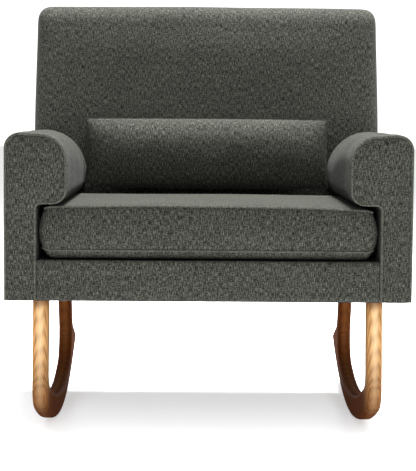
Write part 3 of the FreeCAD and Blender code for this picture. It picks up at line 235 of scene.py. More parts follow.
@dataclass(frozen=True)
class BentOak:
    """Oak bent while steamed, stained walnut and varnished: arched grain, dark pores, a thin gloss, painted
    shade and a painted reflection.
    """

    name: str = "bent oak, stained and varnished"
    early: str = "a67e52"
    late: str = "805a35"
    pore: str = "42240f"
    # Stain colour that also paints shade, multiplied over the wood from the knee rearwards, inside the bend and
    # at the leg's top.
    stain: str = "7c5a42"
    # Colour of the painted reflection down the middle of the front leg.
    polish: str = "dcc39c"
    ring_mm: float = 3.6
    pore_mm: float = 1.1
    roughness: float = 0.3

    def build(self) -> bpy.types.Material:
        """Make the material; it follows the grain stored on the mesh as run, depth and side."""
        material, tree = start_material(self.name)
        grain = add_node(tree, "ShaderNodeAttribute", attribute_name="grain")
        wander = add_node(tree, "ShaderNodeVectorMath", {0: grain.outputs["Vector"], 1: (3.2, 16.0, 16.0)},
                          operation="MULTIPLY")
        sway = add_node(tree, "ShaderNodeTexNoise",
                        {"Vector": wander.outputs[0], "Scale": 1.0, "Detail": 2.5})
        run = add_node(tree, "ShaderNodeSeparateXYZ", {0: grain.outputs["Vector"]})
        pith = add_node(tree, "ShaderNodeMath", {0: run.outputs[0], 1: 0.11, 2: run.outputs[1]},
                        operation="MULTIPLY_ADD")
        spread = add_node(tree, "ShaderNodeCombineXYZ", {0: pith.outputs[0], 1: run.outputs[2]})
        across = add_node(tree, "ShaderNodeVectorMath", {0: spread.outputs[0], 1: (0.012, 0.002, 0.0)})
        radius = add_node(tree, "ShaderNodeVectorMath", {0: across.outputs[0]}, operation="LENGTH")
        ringed = add_node(tree, "ShaderNodeMath", {0: sway.outputs[0], 1: 0.012, 2: radius.outputs["Value"]},
                          operation="MULTIPLY_ADD")
        phase = add_node(tree, "ShaderNodeMath", {0: ringed.outputs[0], 1: 2 * math.pi * 1000 / self.ring_mm},
                         operation="MULTIPLY")
        rings = add_node(tree, "ShaderNodeMath", {0: phase.outputs[0]}, operation="SINE")
        late = add_node(tree, "ShaderNodeMapRange", {0: rings.outputs[0], 1: -0.6, 2: 1.0, 3: 0.0, 4: 0.9})
        wood = add_node(tree, "ShaderNodeMix",
                        {0: late.outputs[0], 6: linear(self.early), 7: linear(self.late)}, data_type="RGBA")
        fine = 1000 / self.pore_mm
        drawn = add_node(tree, "ShaderNodeVectorMath", {0: grain.outputs["Vector"], 1: (26.0, fine, fine)},
                         operation="MULTIPLY")
        vessel = add_node(tree, "ShaderNodeTexNoise",
                          {"Vector": drawn.outputs[0], "Scale": 1.0, "Detail": 1.5})
        pores = add_node(tree, "ShaderNodeMapRange",
                         {0: vessel.outputs[0], 1: 0.54, 2: 0.72, 3: 0.0, 4: 0.75})
        colour = add_node(tree, "ShaderNodeMix",
                          {0: pores.outputs[0], 6: wood.outputs[2], 7: linear(self.pore)}, data_type="RGBA")
        # From the knee rearwards the wood is drawn darker: mostly painted shade from the body above, partly a
        # deeper stain. Inside the bend and at the leg's top, just under the body, the darkening is painted
        # shade.
        bent = add_node(tree, "ShaderNodeMapRange", {0: run.outputs[0], 1: 0.13, 2: 0.30, 3: 0.0, 4: 1.0},
                        interpolation_type="SMOOTHSTEP")
        # Painted shade at the top of the front leg, where the body above shades it.
        painted_leg_top_shade = add_node(tree, "ShaderNodeMapRange",
                           {0: run.outputs[0], 1: 0.055, 2: 0.085, 3: 0.8, 4: 0.0},
                           interpolation_type="SMOOTHSTEP")
        # Painted shade on the inside of the bend.
        inward = add_node(tree, "ShaderNodeMapRange",
                          {0: run.outputs[1], 1: 0.004, 2: 0.019, 3: 0.65, 4: 0.0},
                          interpolation_type="SMOOTHSTEP")
        # Both marks are painted shade.
        painted_shade = add_node(tree, "ShaderNodeMath",
                        {0: inward.outputs[0], 1: painted_leg_top_shade.outputs[0]}, operation="MAXIMUM")
        deep = add_node(tree, "ShaderNodeMath", {0: bent.outputs[0], 1: painted_shade.outputs[0]}, operation="MAXIMUM")
        # The pale streak down the middle of the front leg stands in for a reflection.
        aside = add_node(tree, "ShaderNodeMath", {0: run.outputs[2]}, operation="ABSOLUTE")
        streak = add_node(tree, "ShaderNodeMapRange",
                          {0: aside.outputs[0], 1: 0.0, 2: 0.011, 3: 0.42, 4: 0.0},
                          interpolation_type="SMOOTHSTEP")
        # Painted reflection mixed into the wood's colour.
        with_painted_reflection = add_node(tree, "ShaderNodeMix",
                          {0: streak.outputs[0], 6: colour.outputs[2], 7: linear(self.polish)}, data_type="RGBA")
        stained = add_node(tree, "ShaderNodeMix",
                           {0: deep.outputs[0], 6: with_painted_reflection.outputs[2], 7: linear(self.stain)}, data_type="RGBA",
                           blend_type="MULTIPLY")
        rough = add_node(tree, "ShaderNodeMapRange", {0: vessel.outputs[0], 1: 0.3, 2: 0.7,
                                                      3: self.roughness - 0.05, 4: self.roughness + 0.08})
        finish_surface(tree, stained.outputs[2], vessel.outputs[0], 0.06, 0.3 * MM,
                       {"Roughness": rough.outputs[0], "Specular IOR Level": 0.0,
                        "Coat Weight": 0.03, "Coat Roughness": 0.3,
                        "Coat IOR": 1.52})
        return material


@dataclass(frozen=True)
class SawnBoard:
    """Planed softwood or plywood of the frame: pale, dry, with streaks along the grain."""

    name: str
    pale: str
    dark: str
    grain: Grain
    roughness: float = 0.72

    def build(self) -> bpy.types.Material:
        """Make the material."""
        material, tree = start_material(self.name)
        place = add_node(tree, "ShaderNodeTexCoord")
        drawn = add_node(tree, "ShaderNodeVectorMath", {0: place.outputs["Object"], 1: self.grain.value},
                         operation="MULTIPLY")
        streak = add_node(tree, "ShaderNodeTexNoise",
                          {"Vector": drawn.outputs[0], "Scale": 1.0, "Detail": 4.0,
                                                       "Distortion": 0.6})
        tone = add_node(tree, "ShaderNodeMapRange", {0: streak.outputs[0], 1: 0.35, 2: 0.68, 3: 0.0, 4: 1.0})
        colour = add_node(tree, "ShaderNodeMix",
                          {0: tone.outputs[0], 6: linear(self.pale), 7: linear(self.dark)},
                          data_type="RGBA")
        finish_surface(tree, colour.outputs[2], streak.outputs[0], 0.15, 0.3 * MM, {"Roughness": self.roughness})
        return material


@dataclass(frozen=True)
class FibreMat:
    """Pressed or spun fibre: foam, felt, hardboard and the dust cover's spunbond, all fine-speckled."""

    name: str
    pale: str
    dark: str
    fleck_mm: float
    roughness: float = 0.95
    sheen: float = 0.0

    def build(self) -> bpy.types.Material:
        """Make the material."""
        material, tree = start_material(self.name)
        place = add_node(tree, "ShaderNodeTexCoord")
        fleck = add_node(tree, "ShaderNodeTexNoise", {"Vector": place.outputs["Object"],
                                                      "Scale": 1000 / self.fleck_mm, "Detail": 3.0,
                                                      "Roughness": 0.65})
        broad = add_node(tree, "ShaderNodeTexNoise", {"Vector": place.outputs["Object"], "Scale": 22.0})
        both = add_node(tree, "ShaderNodeMath", {0: broad.outputs[0], 1: 0.4, 2: fleck.outputs[0]},
                        operation="MULTIPLY_ADD")
        tone = add_node(tree, "ShaderNodeMapRange", {0: both.outputs[0], 1: 0.5, 2: 0.9, 3: 0.0, 4: 1.0})
        colour = add_node(tree, "ShaderNodeMix",
                          {0: tone.outputs[0], 6: linear(self.dark), 7: linear(self.pale)},
                          data_type="RGBA")
        finish_surface(tree, colour.outputs[2], fleck.outputs[0], 0.3, 0.4 * MM,
                       {"Roughness": self.roughness, "Sheen Weight": self.sheen})
        return material


@dataclass(frozen=True)
class WorkedMetal:
    """Steel hardware: bright zinc plate or blackened wire, finely brushed and slightly mottled."""

    name: str
    bright: str
    dull: str
    roughness: float = 0.35

    def build(self) -> bpy.types.Material:
        """Make the material."""
        material, tree = start_material(self.name)
        place = add_node(tree, "ShaderNodeTexCoord")
        spangle = add_node(tree, "ShaderNodeTexNoise", {"Vector": place.outputs["Object"], "Scale": 240.0,
                                                        "Detail": 3.0})
        tone = add_node(tree, "ShaderNodeMapRange", {0: spangle.outputs[0], 1: 0.35, 2: 0.65, 3: 0.0, 4: 1.0})
        colour = add_node(tree, "ShaderNodeMix",
                          {0: tone.outputs[0], 6: linear(self.dull), 7: linear(self.bright)},
                          data_type="RGBA")
        rough = add_node(tree, "ShaderNodeMapRange", {0: spangle.outputs[0], 1: 0.3, 2: 0.7,
                                                      3: self.roughness - 0.08, 4: self.roughness + 0.12})
        finish_surface(tree, colour.outputs[2], spangle.outputs[0], 0.05, 0.1 * MM,
                       {"Roughness": rough.outputs[0], "Metallic": 1.0})
        return material


class Finish(Enum):
    """Every finish of the chair, by the record's slot that it dresses."""

    upholstery = HeatheredLinen()
    # The piping is the cover's own cloth drawn lighter: a painted highlight along the cords.
    piping = HeatheredLinen(name="heathered linen blend, cut on the bias for piping", dark="20211c",
                            light="4e4f48", slub="64655d", thread_mm=1.6, slub_mm=6.0)
    deck_cloth = HeatheredLinen(name="cotton drill of the deck, plain woven", dark="151613", light="262723",
                                slub="2c2d29", thread_mm=1.6, slub_mm=6.0)
    bentwood = BentOak()
    frame_hardwood = SawnBoard("poplar, planed", "d3b689", "ab8556", Grain.ACROSS)
    plywood = SawnBoard("birch plywood, sawn", "d9be90", "b8935f", Grain.UPRIGHT)
    hardboard = FibreMat("hardboard, pressed", "80604a", "5b4030", 1.4, 0.7)
    foam = FibreMat("polyurethane foam, cut", "ece3c4", "d4c79e", 1.8)
    felt = FibreMat("cotton felt, needled", "97918a", "5f5b55", 2.6, sheen=0.2)
    dust_cloth = FibreMat("spunbond dust cloth", "26262a", "121214", 1.5, 0.85)
    zinc_steel = WorkedMetal("zinc-plated steel", "c9cac6", "9b9c9a")
    spring_steel = WorkedMetal("oil-blackened spring wire", "4a4a4c", "2a2a2c", 0.42)
    zip_tape = HeatheredLinen(name="polyester zip tape, woven", dark="161616", light="2e2e2e", slub="343434",
                              thread_mm=1.2, slub_mm=3.0)
    zip_metal = WorkedMetal("zip slider, die-cast and blackened", "5a5a5c", "303032", 0.38)


class Wardrobe:
    """Makes each finish once and dresses objects with it."""

    def __init__(self) -> None:
        """Start with nothing made."""
        self.made: dict[Finish, bpy.types.Material] = {}

    def dress(self, piece: Piece, finish: Finish) -> None:
        """Give an object one finish in all of its material slots.

        Args:
            piece: the mesh object.
            finish: which finish.
        """
        if finish not in self.made:
            self.made[finish] = finish.value.build()
        if not piece.material_slots:
            piece.data.materials.append(self.made[finish])
        for place in piece.material_slots:
            place.material = self.made[finish]


# ------------------------------------------------------------------ mesh helpers

def new_piece(name: str, points: np.ndarray, faces: list, body: str, finish: Finish, wardrobe: Wardrobe,
              stands_for: tuple[str, ...] = (), subdivide: int = 0) -> Piece:
    """Make a smooth closed mesh piece that rides on a body.

    Args:
        name: the piece's name.
        points: one row of X, Y, Z for each vertex.
        faces: tuples of vertex numbers.
        body: the CAD body that it moves with.
        finish: its finish, which is also its slot in the record.
        wardrobe: makes the finish.
        stands_for: the CAD nodes that it replaces.
        subdivide: levels of subdivision, applied.

    Returns:
        The piece.
    """
    mesh = bpy.data.meshes.new(name)
    mesh.from_pydata([tuple(map(float, p)) for p in points], [], [tuple(map(int, f)) for f in faces])
    build = bmesh.new()
    build.from_mesh(mesh)
    bmesh.ops.remove_doubles(build, verts=build.verts, dist=1e-6)
    bmesh.ops.recalc_face_normals(build, faces=build.faces)
    build.to_mesh(mesh)
    build.free()
    piece = bpy.data.objects.new(name, mesh)
    bpy.context.scene.collection.objects.link(piece)
    if subdivide:
        rounding = piece.modifiers.new("rounding", "SUBSURF")
        rounding.levels = rounding.render_levels = subdivide
        apply_modifiers(piece)
    smooth(piece)
    wardrobe.dress(piece, finish)
    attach(piece, body)
    if stands_for:
        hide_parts(*stands_for)
    return piece


def from_cad(name: str, build: bmesh.types.BMesh, node: str, finish: Finish,
             wardrobe: Wardrobe) -> Piece:
    """Make a piece that keeps the shape of one CAD node of the chair.

    Args:
        name: the piece's name.
        build: the node's mesh, already cut or moved; it is freed.
        node: the CAD node that the piece replaces.
        finish: its finish, which is also its slot in the record.
        wardrobe: makes the finish.

    Returns:
        The piece.
    """
    mesh = bpy.data.meshes.new(name)
    build.to_mesh(mesh)
    build.free()
    piece = bpy.data.objects.new(name, mesh)
    bpy.context.scene.collection.objects.link(piece)
    wardrobe.dress(piece, finish)
    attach(piece, "chair")
    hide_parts(node)
    return piece


def cut_in_cells(node: str, axes: tuple[int, int], cell: float) -> bmesh.types.BMesh:
    """Copy a CAD node's mesh and cut it by even planes, which leaves its shape as it is.

    Args:
        node: the CAD node.
        axes: the two axes that the planes stand across.
        cell: the spacing of the planes.

    Returns:
        The cut mesh.
    """
    build = bmesh.new()
    build.from_mesh(frame["nodes"][node].data)
    low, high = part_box(node)
    for axis in axes:
        for place in np.arange(low[axis] + cell, high[axis], cell):
            spot, normal = [0.0, 0.0, 0.0], [0.0, 0.0, 0.0]
            spot[axis], normal[axis] = float(place), 1.0
            bmesh.ops.bisect_plane(build, geom=build.verts[:] + build.edges[:] + build.faces[:],
                                   plane_co=spot, plane_no=normal, dist=1e-6)
    return build


def smooth(piece: Piece) -> None:
    """Shade every face smoothly."""
    piece.data.polygons.foreach_set("use_smooth", [True] * len(piece.data.polygons))
    piece.data.update()


def apply_modifiers(piece: Piece) -> None:
    """Turn what the modifiers make into the object's own mesh."""
    result = bpy.data.meshes.new_from_object(piece.evaluated_get(bpy.context.evaluated_depsgraph_get()))
    piece.modifiers.clear()
    piece.data = result


def rim_of(rows: int, columns: int) -> list[int]:
    """The vertices round the edge of a grid, in order."""
    wide = columns + 1
    return [*range(wide), *(row * wide + columns for row in range(1, rows + 1)),
            *(rows * wide + column for column in range(columns - 1, -1, -1)),
            *(row * wide for row in range(rows - 1, 0, -1))]


def two_skins(rows: int, columns: int) -> list[tuple[int, ...]]:
    """Faces of two grids that lie back to back, the second numbered after the first."""
    wide = columns + 1
    base = wide * (rows + 1)
    faces = []
    for row in range(rows):
        for column in range(columns):
            a = row * wide + column
            quad = (a, a + 1, a + wide + 1, a + wide)
            faces += [quad, tuple(base + i for i in reversed(quad))]
    return faces


def closed_panel(rows: int, columns: int) -> list[tuple[int, ...]]:
    """Faces of two grids that lie back to back, joined round their edge by a narrow strip."""
    base = (columns + 1) * (rows + 1)
    rim = rim_of(rows, columns)
    following = rim[1:] + rim[:1]
    return two_skins(rows, columns) + [(here, after, base + after, base + here)
                                       for here, after in zip(rim, following)]


def loft(rings: np.ndarray, closed_end: bool = True) -> tuple[np.ndarray, list]:
    """Join closed rings of equal length into a tube, with a face over each end.

    Args:
        rings: ring, vertex and coordinate.
        closed_end: whether the two end rings are covered.

    Returns:
        The vertices and faces.
    """
    count, around = rings.shape[:2]
    faces = [(row * around + i, row * around + (i + 1) % around,
              (row + 1) * around + (i + 1) % around, (row + 1) * around + i)
             for row in range(count - 1) for i in range(around)]
    if closed_end:
        faces.append(tuple(range(around)))
        faces.append(tuple(range((count - 1) * around, count * around)))
    return rings.reshape(-1, 3), faces


def rounded_loop(corners: list[Triple], spans: tuple[int, ...], per_arc: int = 8) -> np.ndarray:
    """Sample a closed outline of lines and tangent arcs.

    Args:
        corners: across, up and radius of each corner.
        spans: how many spans the straight run after each corner has.
        per_arc: spans on each arc.

    Returns:
        The outline's points, two columns.
    """
    spots = [np.array(c[:2], float) for c in corners]
    points: list[np.ndarray] = []
    ends = []
    for index, (here, corner) in enumerate(zip(spots, corners)):
        back = spots[index - 1] - here
        ahead = spots[(index + 1) % len(spots)] - here
        back, ahead = back / np.linalg.norm(back), ahead / np.linalg.norm(ahead)
        half = math.acos(float(np.clip(back @ ahead, -1, 1))) / 2
        radius = corner[2]
        reach = radius / math.tan(half)
        middle = here + (back + ahead) / np.linalg.norm(back + ahead) * (radius / math.sin(half))
        start, end = here + back * reach - middle, here + ahead * reach - middle
        turn = math.pi - 2 * half
        sign = 1.0 if start[0] * end[1] - start[1] * end[0] > 0 else -1.0
        arc = []
        for part in range(per_arc + 1):
            angle = sign * turn * part / per_arc
            spin = np.array([[math.cos(angle), -math.sin(angle)], [math.sin(angle), math.cos(angle)]])
            arc.append(middle + spin @ start)
        ends.append(arc)
    for index, arc in enumerate(ends):
        points.extend(arc)
        following = ends[(index + 1) % len(ends)][0]
        count = spans[index]
        points.extend(arc[-1] + (following - arc[-1]) * part / count for part in range(1, count))
    return np.array(points)


def tube(path: np.ndarray, radius: float, closed: bool, around: int = 10) -> tuple[np.ndarray, list]:
    """Sweep a round cord along a path.

    Args:
        path: the centre's points.
        radius: the cord's radius.
        closed: whether the path runs back to its start.
        around: points round the cord.

    Returns:
        The vertices and faces of the cord.
    """
    count = len(path)
    ahead = np.roll(path, -1, 0) - np.roll(path, 1, 0)
    if not closed:
        ahead[0], ahead[-1] = path[1] - path[0], path[-1] - path[-2]
    ahead /= np.linalg.norm(ahead, axis=1)[:, None]
    side = np.cross(ahead[0], [0.31, 0.17, 0.93])
    rings = np.zeros((count, around, 3))
    for row in range(count):
        side = side - ahead[row] * (side @ ahead[row])
        side /= np.linalg.norm(side)
        other = np.cross(ahead[row], side)
        for i in range(around):
            angle = 2 * math.pi * i / around
            rings[row, i] = path[row] + radius * (math.cos(angle) * side + math.sin(angle) * other)
    points, faces = loft(rings, closed_end=not closed)
    if closed:
        # The frame may have turned on the way round, so the last ring meets the first at its nearest point.
        shift = int(np.argmin(np.linalg.norm(rings[0] - rings[-1][0], axis=1)))
        last = (count - 1) * around
        faces.extend((last + i, last + (i + 1) % around, (i + 1 + shift) % around, (i + shift) % around)
                     for i in range(around))
    return points, faces


def ripple(point: np.ndarray, scale: float, seed: float) -> float:
    """Smooth noise from -1 to 1 at a place, the same in every run."""
    x, y, z = point
    return noise.noise(Vector((x * scale + seed, y * scale - seed, z * scale + 2 * seed)))


def ease(value: np.ndarray | float) -> np.ndarray | float:
    """A smooth step from 0 to 1."""
    held = np.clip(value, 0, 1)
    return held * held * (3 - 2 * held)


def soft(value: float) -> float:
    """The same smooth step for one number."""
    return float(ease(value))


def box_grid(half: Triple, step: float) -> tuple[np.ndarray, list]:
    """The surface of a box as even quads, unwelded along its edges.

    Args:
        half: half its size on each axis.
        step: rough size of a quad.

    Returns:
        The vertices, in units of the half sizes, and the faces.
    """
    counts = [max(4, round(2 * size / step)) for size in half]
    points: list[tuple[float, ...]] = []
    faces: list[tuple[int, ...]] = []
    for axis in range(3):
        u, v = (axis + 1) % 3, (axis + 2) % 3
        for side in (-1.0, 1.0):
            base = len(points)
            for i in range(counts[u] + 1):
                for j in range(counts[v] + 1):
                    spot = [0.0, 0.0, 0.0]
                    spot[axis], spot[u], spot[v] = side, -1 + 2 * i / counts[u], -1 + 2 * j / counts[v]
                    points.append(tuple(spot))
            wide = counts[v] + 1
            faces.extend((base + i * wide + j, base + (i + 1) * wide + j,
                          base + (i + 1) * wide + j + 1, base + i * wide + j + 1)
                         for i in range(counts[u]) for j in range(counts[v]))
    return np.array(points), faces


def round_off(points: np.ndarray, half: np.ndarray, radii: np.ndarray) -> np.ndarray:
    """Round a box's edges, with a radius on each axis.

    Args:
        points: surface points of the box.
        half: half its size on each axis.
        radii: how far the rounding reaches along each axis, for each point or for all.

    Returns:
        The moved points.
    """
    inner = np.clip(points, -(half - radii), half - radii)
    away = (points - inner) / radii
    length = np.linalg.norm(away, axis=1)[:, None]
    return inner + np.where(length > 1e-9, away / np.maximum(length, 1e-9), 0) * radii


@dataclass
class Assembly:
    """What every sub-assembly shares: the body that it rides on and the wardrobe that dresses it."""

    wardrobe: Wardrobe
    body: ClassVar[str] = "chair"

    def make(self, name: str, points: np.ndarray, faces: list, *stands_for: str,
             finish: Finish = Finish.upholstery, subdivide: int = 0) -> Piece:
        """Make one piece of the assembly.

        Args:
            name: the piece's name.
            points: one row of X, Y, Z for each vertex.
            faces: tuples of vertex numbers.
            stands_for: the CAD nodes that it replaces.
            finish: its finish.
            subdivide: levels of subdivision, applied.

        Returns:
            The piece.
        """
        return new_piece(name, points, faces, self.body, finish, self.wardrobe, stands_for, subdivide)


# ------------------------------------------------------------------ rockers

@dataclass
class Rockers(Assembly):
    """The two bent-wood rockers. Each keeps its exact CAD shape and gains the run of its grain."""

    width: float = 0.031
    inner: float = 0.3175
    front_leg: Span = (-0.371, 0.046)
    rear_leg: Span = (0.216, 0.037)
    front_lean: float = math.radians(5)
    rear_lean: float = math.radians(-18)
    runner_radius: float = 0.847
    contact_y: float = -0.016
    runner_half: float = 0.023
    leg_top: float = 0.343
    knee_height: float = 0.075
    cell: float = 0.018
    smoothing: int = 60

    def centre_line(self) -> np.ndarray:
        """The middle line of the bend in side view, as closely spaced Y, Z points."""
        front_y = self.front_leg[0] + self.front_leg[1] / 2
        rear_y = self.rear_leg[0] + self.rear_leg[1] / 2
        low = self.knee_height
        knee = (front_y, low)
        top = (front_y + (self.leg_top - low) * math.tan(self.front_lean), self.leg_top)
        corner = (rear_y - (BODY_LOW - low) * math.tan(self.rear_lean), low)
        rear_top = (rear_y + (self.leg_top - BODY_LOW) * math.tan(self.rear_lean), self.leg_top)
        centre_z = self.runner_half + self.runner_radius
        runner = [(y, centre_z - math.sqrt(self.runner_radius ** 2 - (y - self.contact_y) ** 2))
                  for y in np.linspace(front_y + 0.06, corner[0] - 0.07, 24)]
        line = np.array([top, knee, *runner, corner, rear_top])
        dense = [line[0]]
        for start, end in zip(line[:-1], line[1:]):
            spans = max(1, round(float(np.linalg.norm(end - start)) / 0.008))
            dense.extend(start + (end - start) * part / spans for part in range(1, spans + 1))
        points = np.array(dense)
        for _ in range(self.smoothing):
            points[1:-1] = (points[:-2] + 2 * points[1:-1] + points[2:]) / 4
        return points

    def build(self) -> list[Piece]:
        """Make both rockers."""
        line = self.centre_line()
        run = np.concatenate([[0], np.cumsum(np.linalg.norm(np.diff(line, axis=0), axis=1))])
        step = np.gradient(line, axis=0)
        step /= np.linalg.norm(step, axis=1)[:, None]
        made = []
        for name, side in SIDES:
            node = name + "_rocker"
            piece = from_cad(name + "_bentwood_rocker", cut_in_cells(node, (1, 2), self.cell), node,
                             Finish.bentwood, self.wardrobe)
            places = np.array([v.co for v in piece.data.vertices])
            flat = places[:, 1:]
            nearest = np.argmin(((flat[:, None, :] - line[None]) ** 2).sum(2), axis=1)
            off = flat - line[nearest]
            along = run[nearest] + (off * step[nearest]).sum(1)
            depth = off[:, 0] * step[nearest][:, 1] - off[:, 1] * step[nearest][:, 0]
            values = np.stack([along, depth, places[:, 0] - side * (self.inner + self.width / 2)], 1)
            grain = piece.data.attributes.new("grain", "FLOAT_VECTOR", "POINT")
            grain.data.foreach_set("vector", values.astype(np.float32).ravel())
            made.append(piece)
        return made


# ------------------------------------------------------------------ arms

@dataclass
class Arms(Assembly):
    """Both padded arms: the stuffed roll and stem, the outside panel, the facing and its piping."""

    outer: float = HALF_WIDTH
    inner: float = 0.277
    under: float = 0.479
    stem: float = 0.337
    outer_corner: float = 0.031
    roll: float = 0.052
    roll_growth: float = 0.046
    under_corner: float = 0.029
    stem_corner: float = 0.009
    length: float = 0.56
    stations: int = 46
    piping_radius: float = 2.6 * MM

    def outline(self, side: int, inset: float, roll: float) -> np.ndarray:
        """Front view of an arm.

        Args:
            side: -1 for the left arm, 1 for the right.
            inset: how far inside the arm's outer surface.
            roll: radius of the inner top edge before the inset.

        Returns:
            The outline's points, across and up.
        """
        top = ARM_TOP + 1.5 * MM - inset
        foot = 2 * MM
        corners = [(self.outer - inset, BODY_LOW, foot), (self.outer - inset, top, self.outer_corner - inset),
                   (self.inner + inset, top - 7 * MM, roll - inset),
                   (self.inner + inset, self.under + inset, self.under_corner - inset),
                   (self.stem + inset, self.under + inset, self.stem_corner + inset),
                   (self.stem + inset, BODY_LOW, foot)]
        return rounded_loop([(across * side, up, radius) for across, up, radius in corners],
                            (24, 4, 5, 3, 14, 5))

    def stuffed_roll(self, name: str, side: int) -> Piece:
        """The arm itself, from the piping back to the leaning back."""
        share = np.linspace(0, 1, self.stations) ** 1.15
        rings = []
        for part in share:
            run = part * self.length
            inset = 4.2 * MM * math.exp(-run / 0.009) - 0.8 * MM * soft(run / 0.05)
            roll = self.roll + self.roll_growth * soft((part - 0.25) / 0.75)
            flat = self.outline(side, inset, roll)
            ring = []
            for across, up in flat:
                end = back_front_y(max(up, DECK_TOP)) + 0.012
                spot = np.array([across, FRONT_Y + 3.5 * MM + part * (end - FRONT_Y - 3.5 * MM), up])
                loose = float(ease(run / 0.05) * ease((up - DECK_TOP) / 0.06))
                inward = soft((self.outer - 0.02 - abs(across)) / 0.05)
                push = loose * (1.4 * MM * ripple(spot, 9.0, 3.0 * side) + 0.5 * MM * ripple(spot, 30.0, 7.0))
                spot[2] += push * soft((up - 0.56) / 0.05)
                spot[0] += side * -push * inward
                ring.append(spot)
            rings.append(ring)
        points, faces = loft(np.array(rings))
        piece = self.make(f"{name}_arm_stuffed_roll", points, faces, f"{name}_arm_cover", f"{name}_arm_pad")
        return piece

    def outside_panel(self, name: str, side: int) -> Piece:
        """The flat cloth panel outside the arm, from the facing to the rear of the chair."""
        high = ARM_TOP - 0.030
        rows, columns = 34, 56
        front, shell = [], []
        for row in range(rows + 1):
            up = BODY_LOW + (high - BODY_LOW) * row / rows
            for column in range(columns + 1):
                part = column / columns
                start, end = FRONT_Y + 5.2 * MM, back_rear_y(up) - 0.5 * MM
                across = start + part * (end - start)
                edge = min(across - start, end - across, high - up, up - BODY_LOW)
                swell = 2.0 * MM * soft(edge / 0.030) + 1.2 * MM * soft(edge / 0.006)
                spot = np.array([0.0, across, up])
                swell += 0.5 * MM * ripple(spot, 7.0, 5.0 * side) * soft(edge / 0.04)
                front.append((side * (self.outer - 1.6 * MM + swell), across, up))
                shell.append((side * (self.outer - 4.0 * MM), across, up))
        return self.make(f"{name}_arm_outside_panel", np.array(front + shell), closed_panel(rows, columns),
                         f"{name}_arm_outside_cover")

    def facing(self, name: str, side: int) -> Piece:
        """The P-shaped front panel, slightly raised inside its piping."""
        rings = []
        for inset, ahead in ((4.6, -4.0), (4.4, -1.5), (5.6, -0.4), (7.5, 0.4), (10.0, 1.1), (14.0, 1.9),
                             (19.0, 2.5), (24.0, 2.9)):
            flat = self.outline(side, inset * MM, self.roll)
            depth = FRONT_Y - ahead * MM
            rings.append([(across, depth, up) for across, up in flat])
        return self.make(f"{name}_arm_facing_panel", *loft(np.array(rings)), f"{name}_arm_facing")

    def piping(self, name: str, side: int) -> Piece:
        """The cord in its bias strip round the facing, up from the foot, over the roll and down the stem."""
        flat = self.outline(side, self.piping_radius, self.roll)
        low = BODY_LOW + 3 * MM
        above = [index for index, point in enumerate(flat) if point[1] > low]
        first = next(index for index in above if flat[index - 1][1] <= low)
        order = [(first + step) % len(flat) for step in range(len(flat))]
        run = [flat[index] for index in order if flat[index][1] > low]
        ends = [np.array([run[0][0], BODY_LOW + 0.5 * MM]), np.array([run[-1][0], BODY_LOW + 0.5 * MM])]
        path = np.array([(across, FRONT_Y + 1.6 * MM, up) for across, up in [ends[0], *run, ends[1]]])
        return self.make(f"{name}_arm_piping", *tube(path, self.piping_radius, closed=False),
                         f"{name}_arm_welt", finish=Finish.piping)

    def build(self) -> list[Piece]:
        """Make both arms."""
        made = []
        for name, side in SIDES:
            for method in (self.stuffed_roll, self.outside_panel, self.facing, self.piping):
                made.append(method(name, side))
        return made


# ------------------------------------------------------------------ back

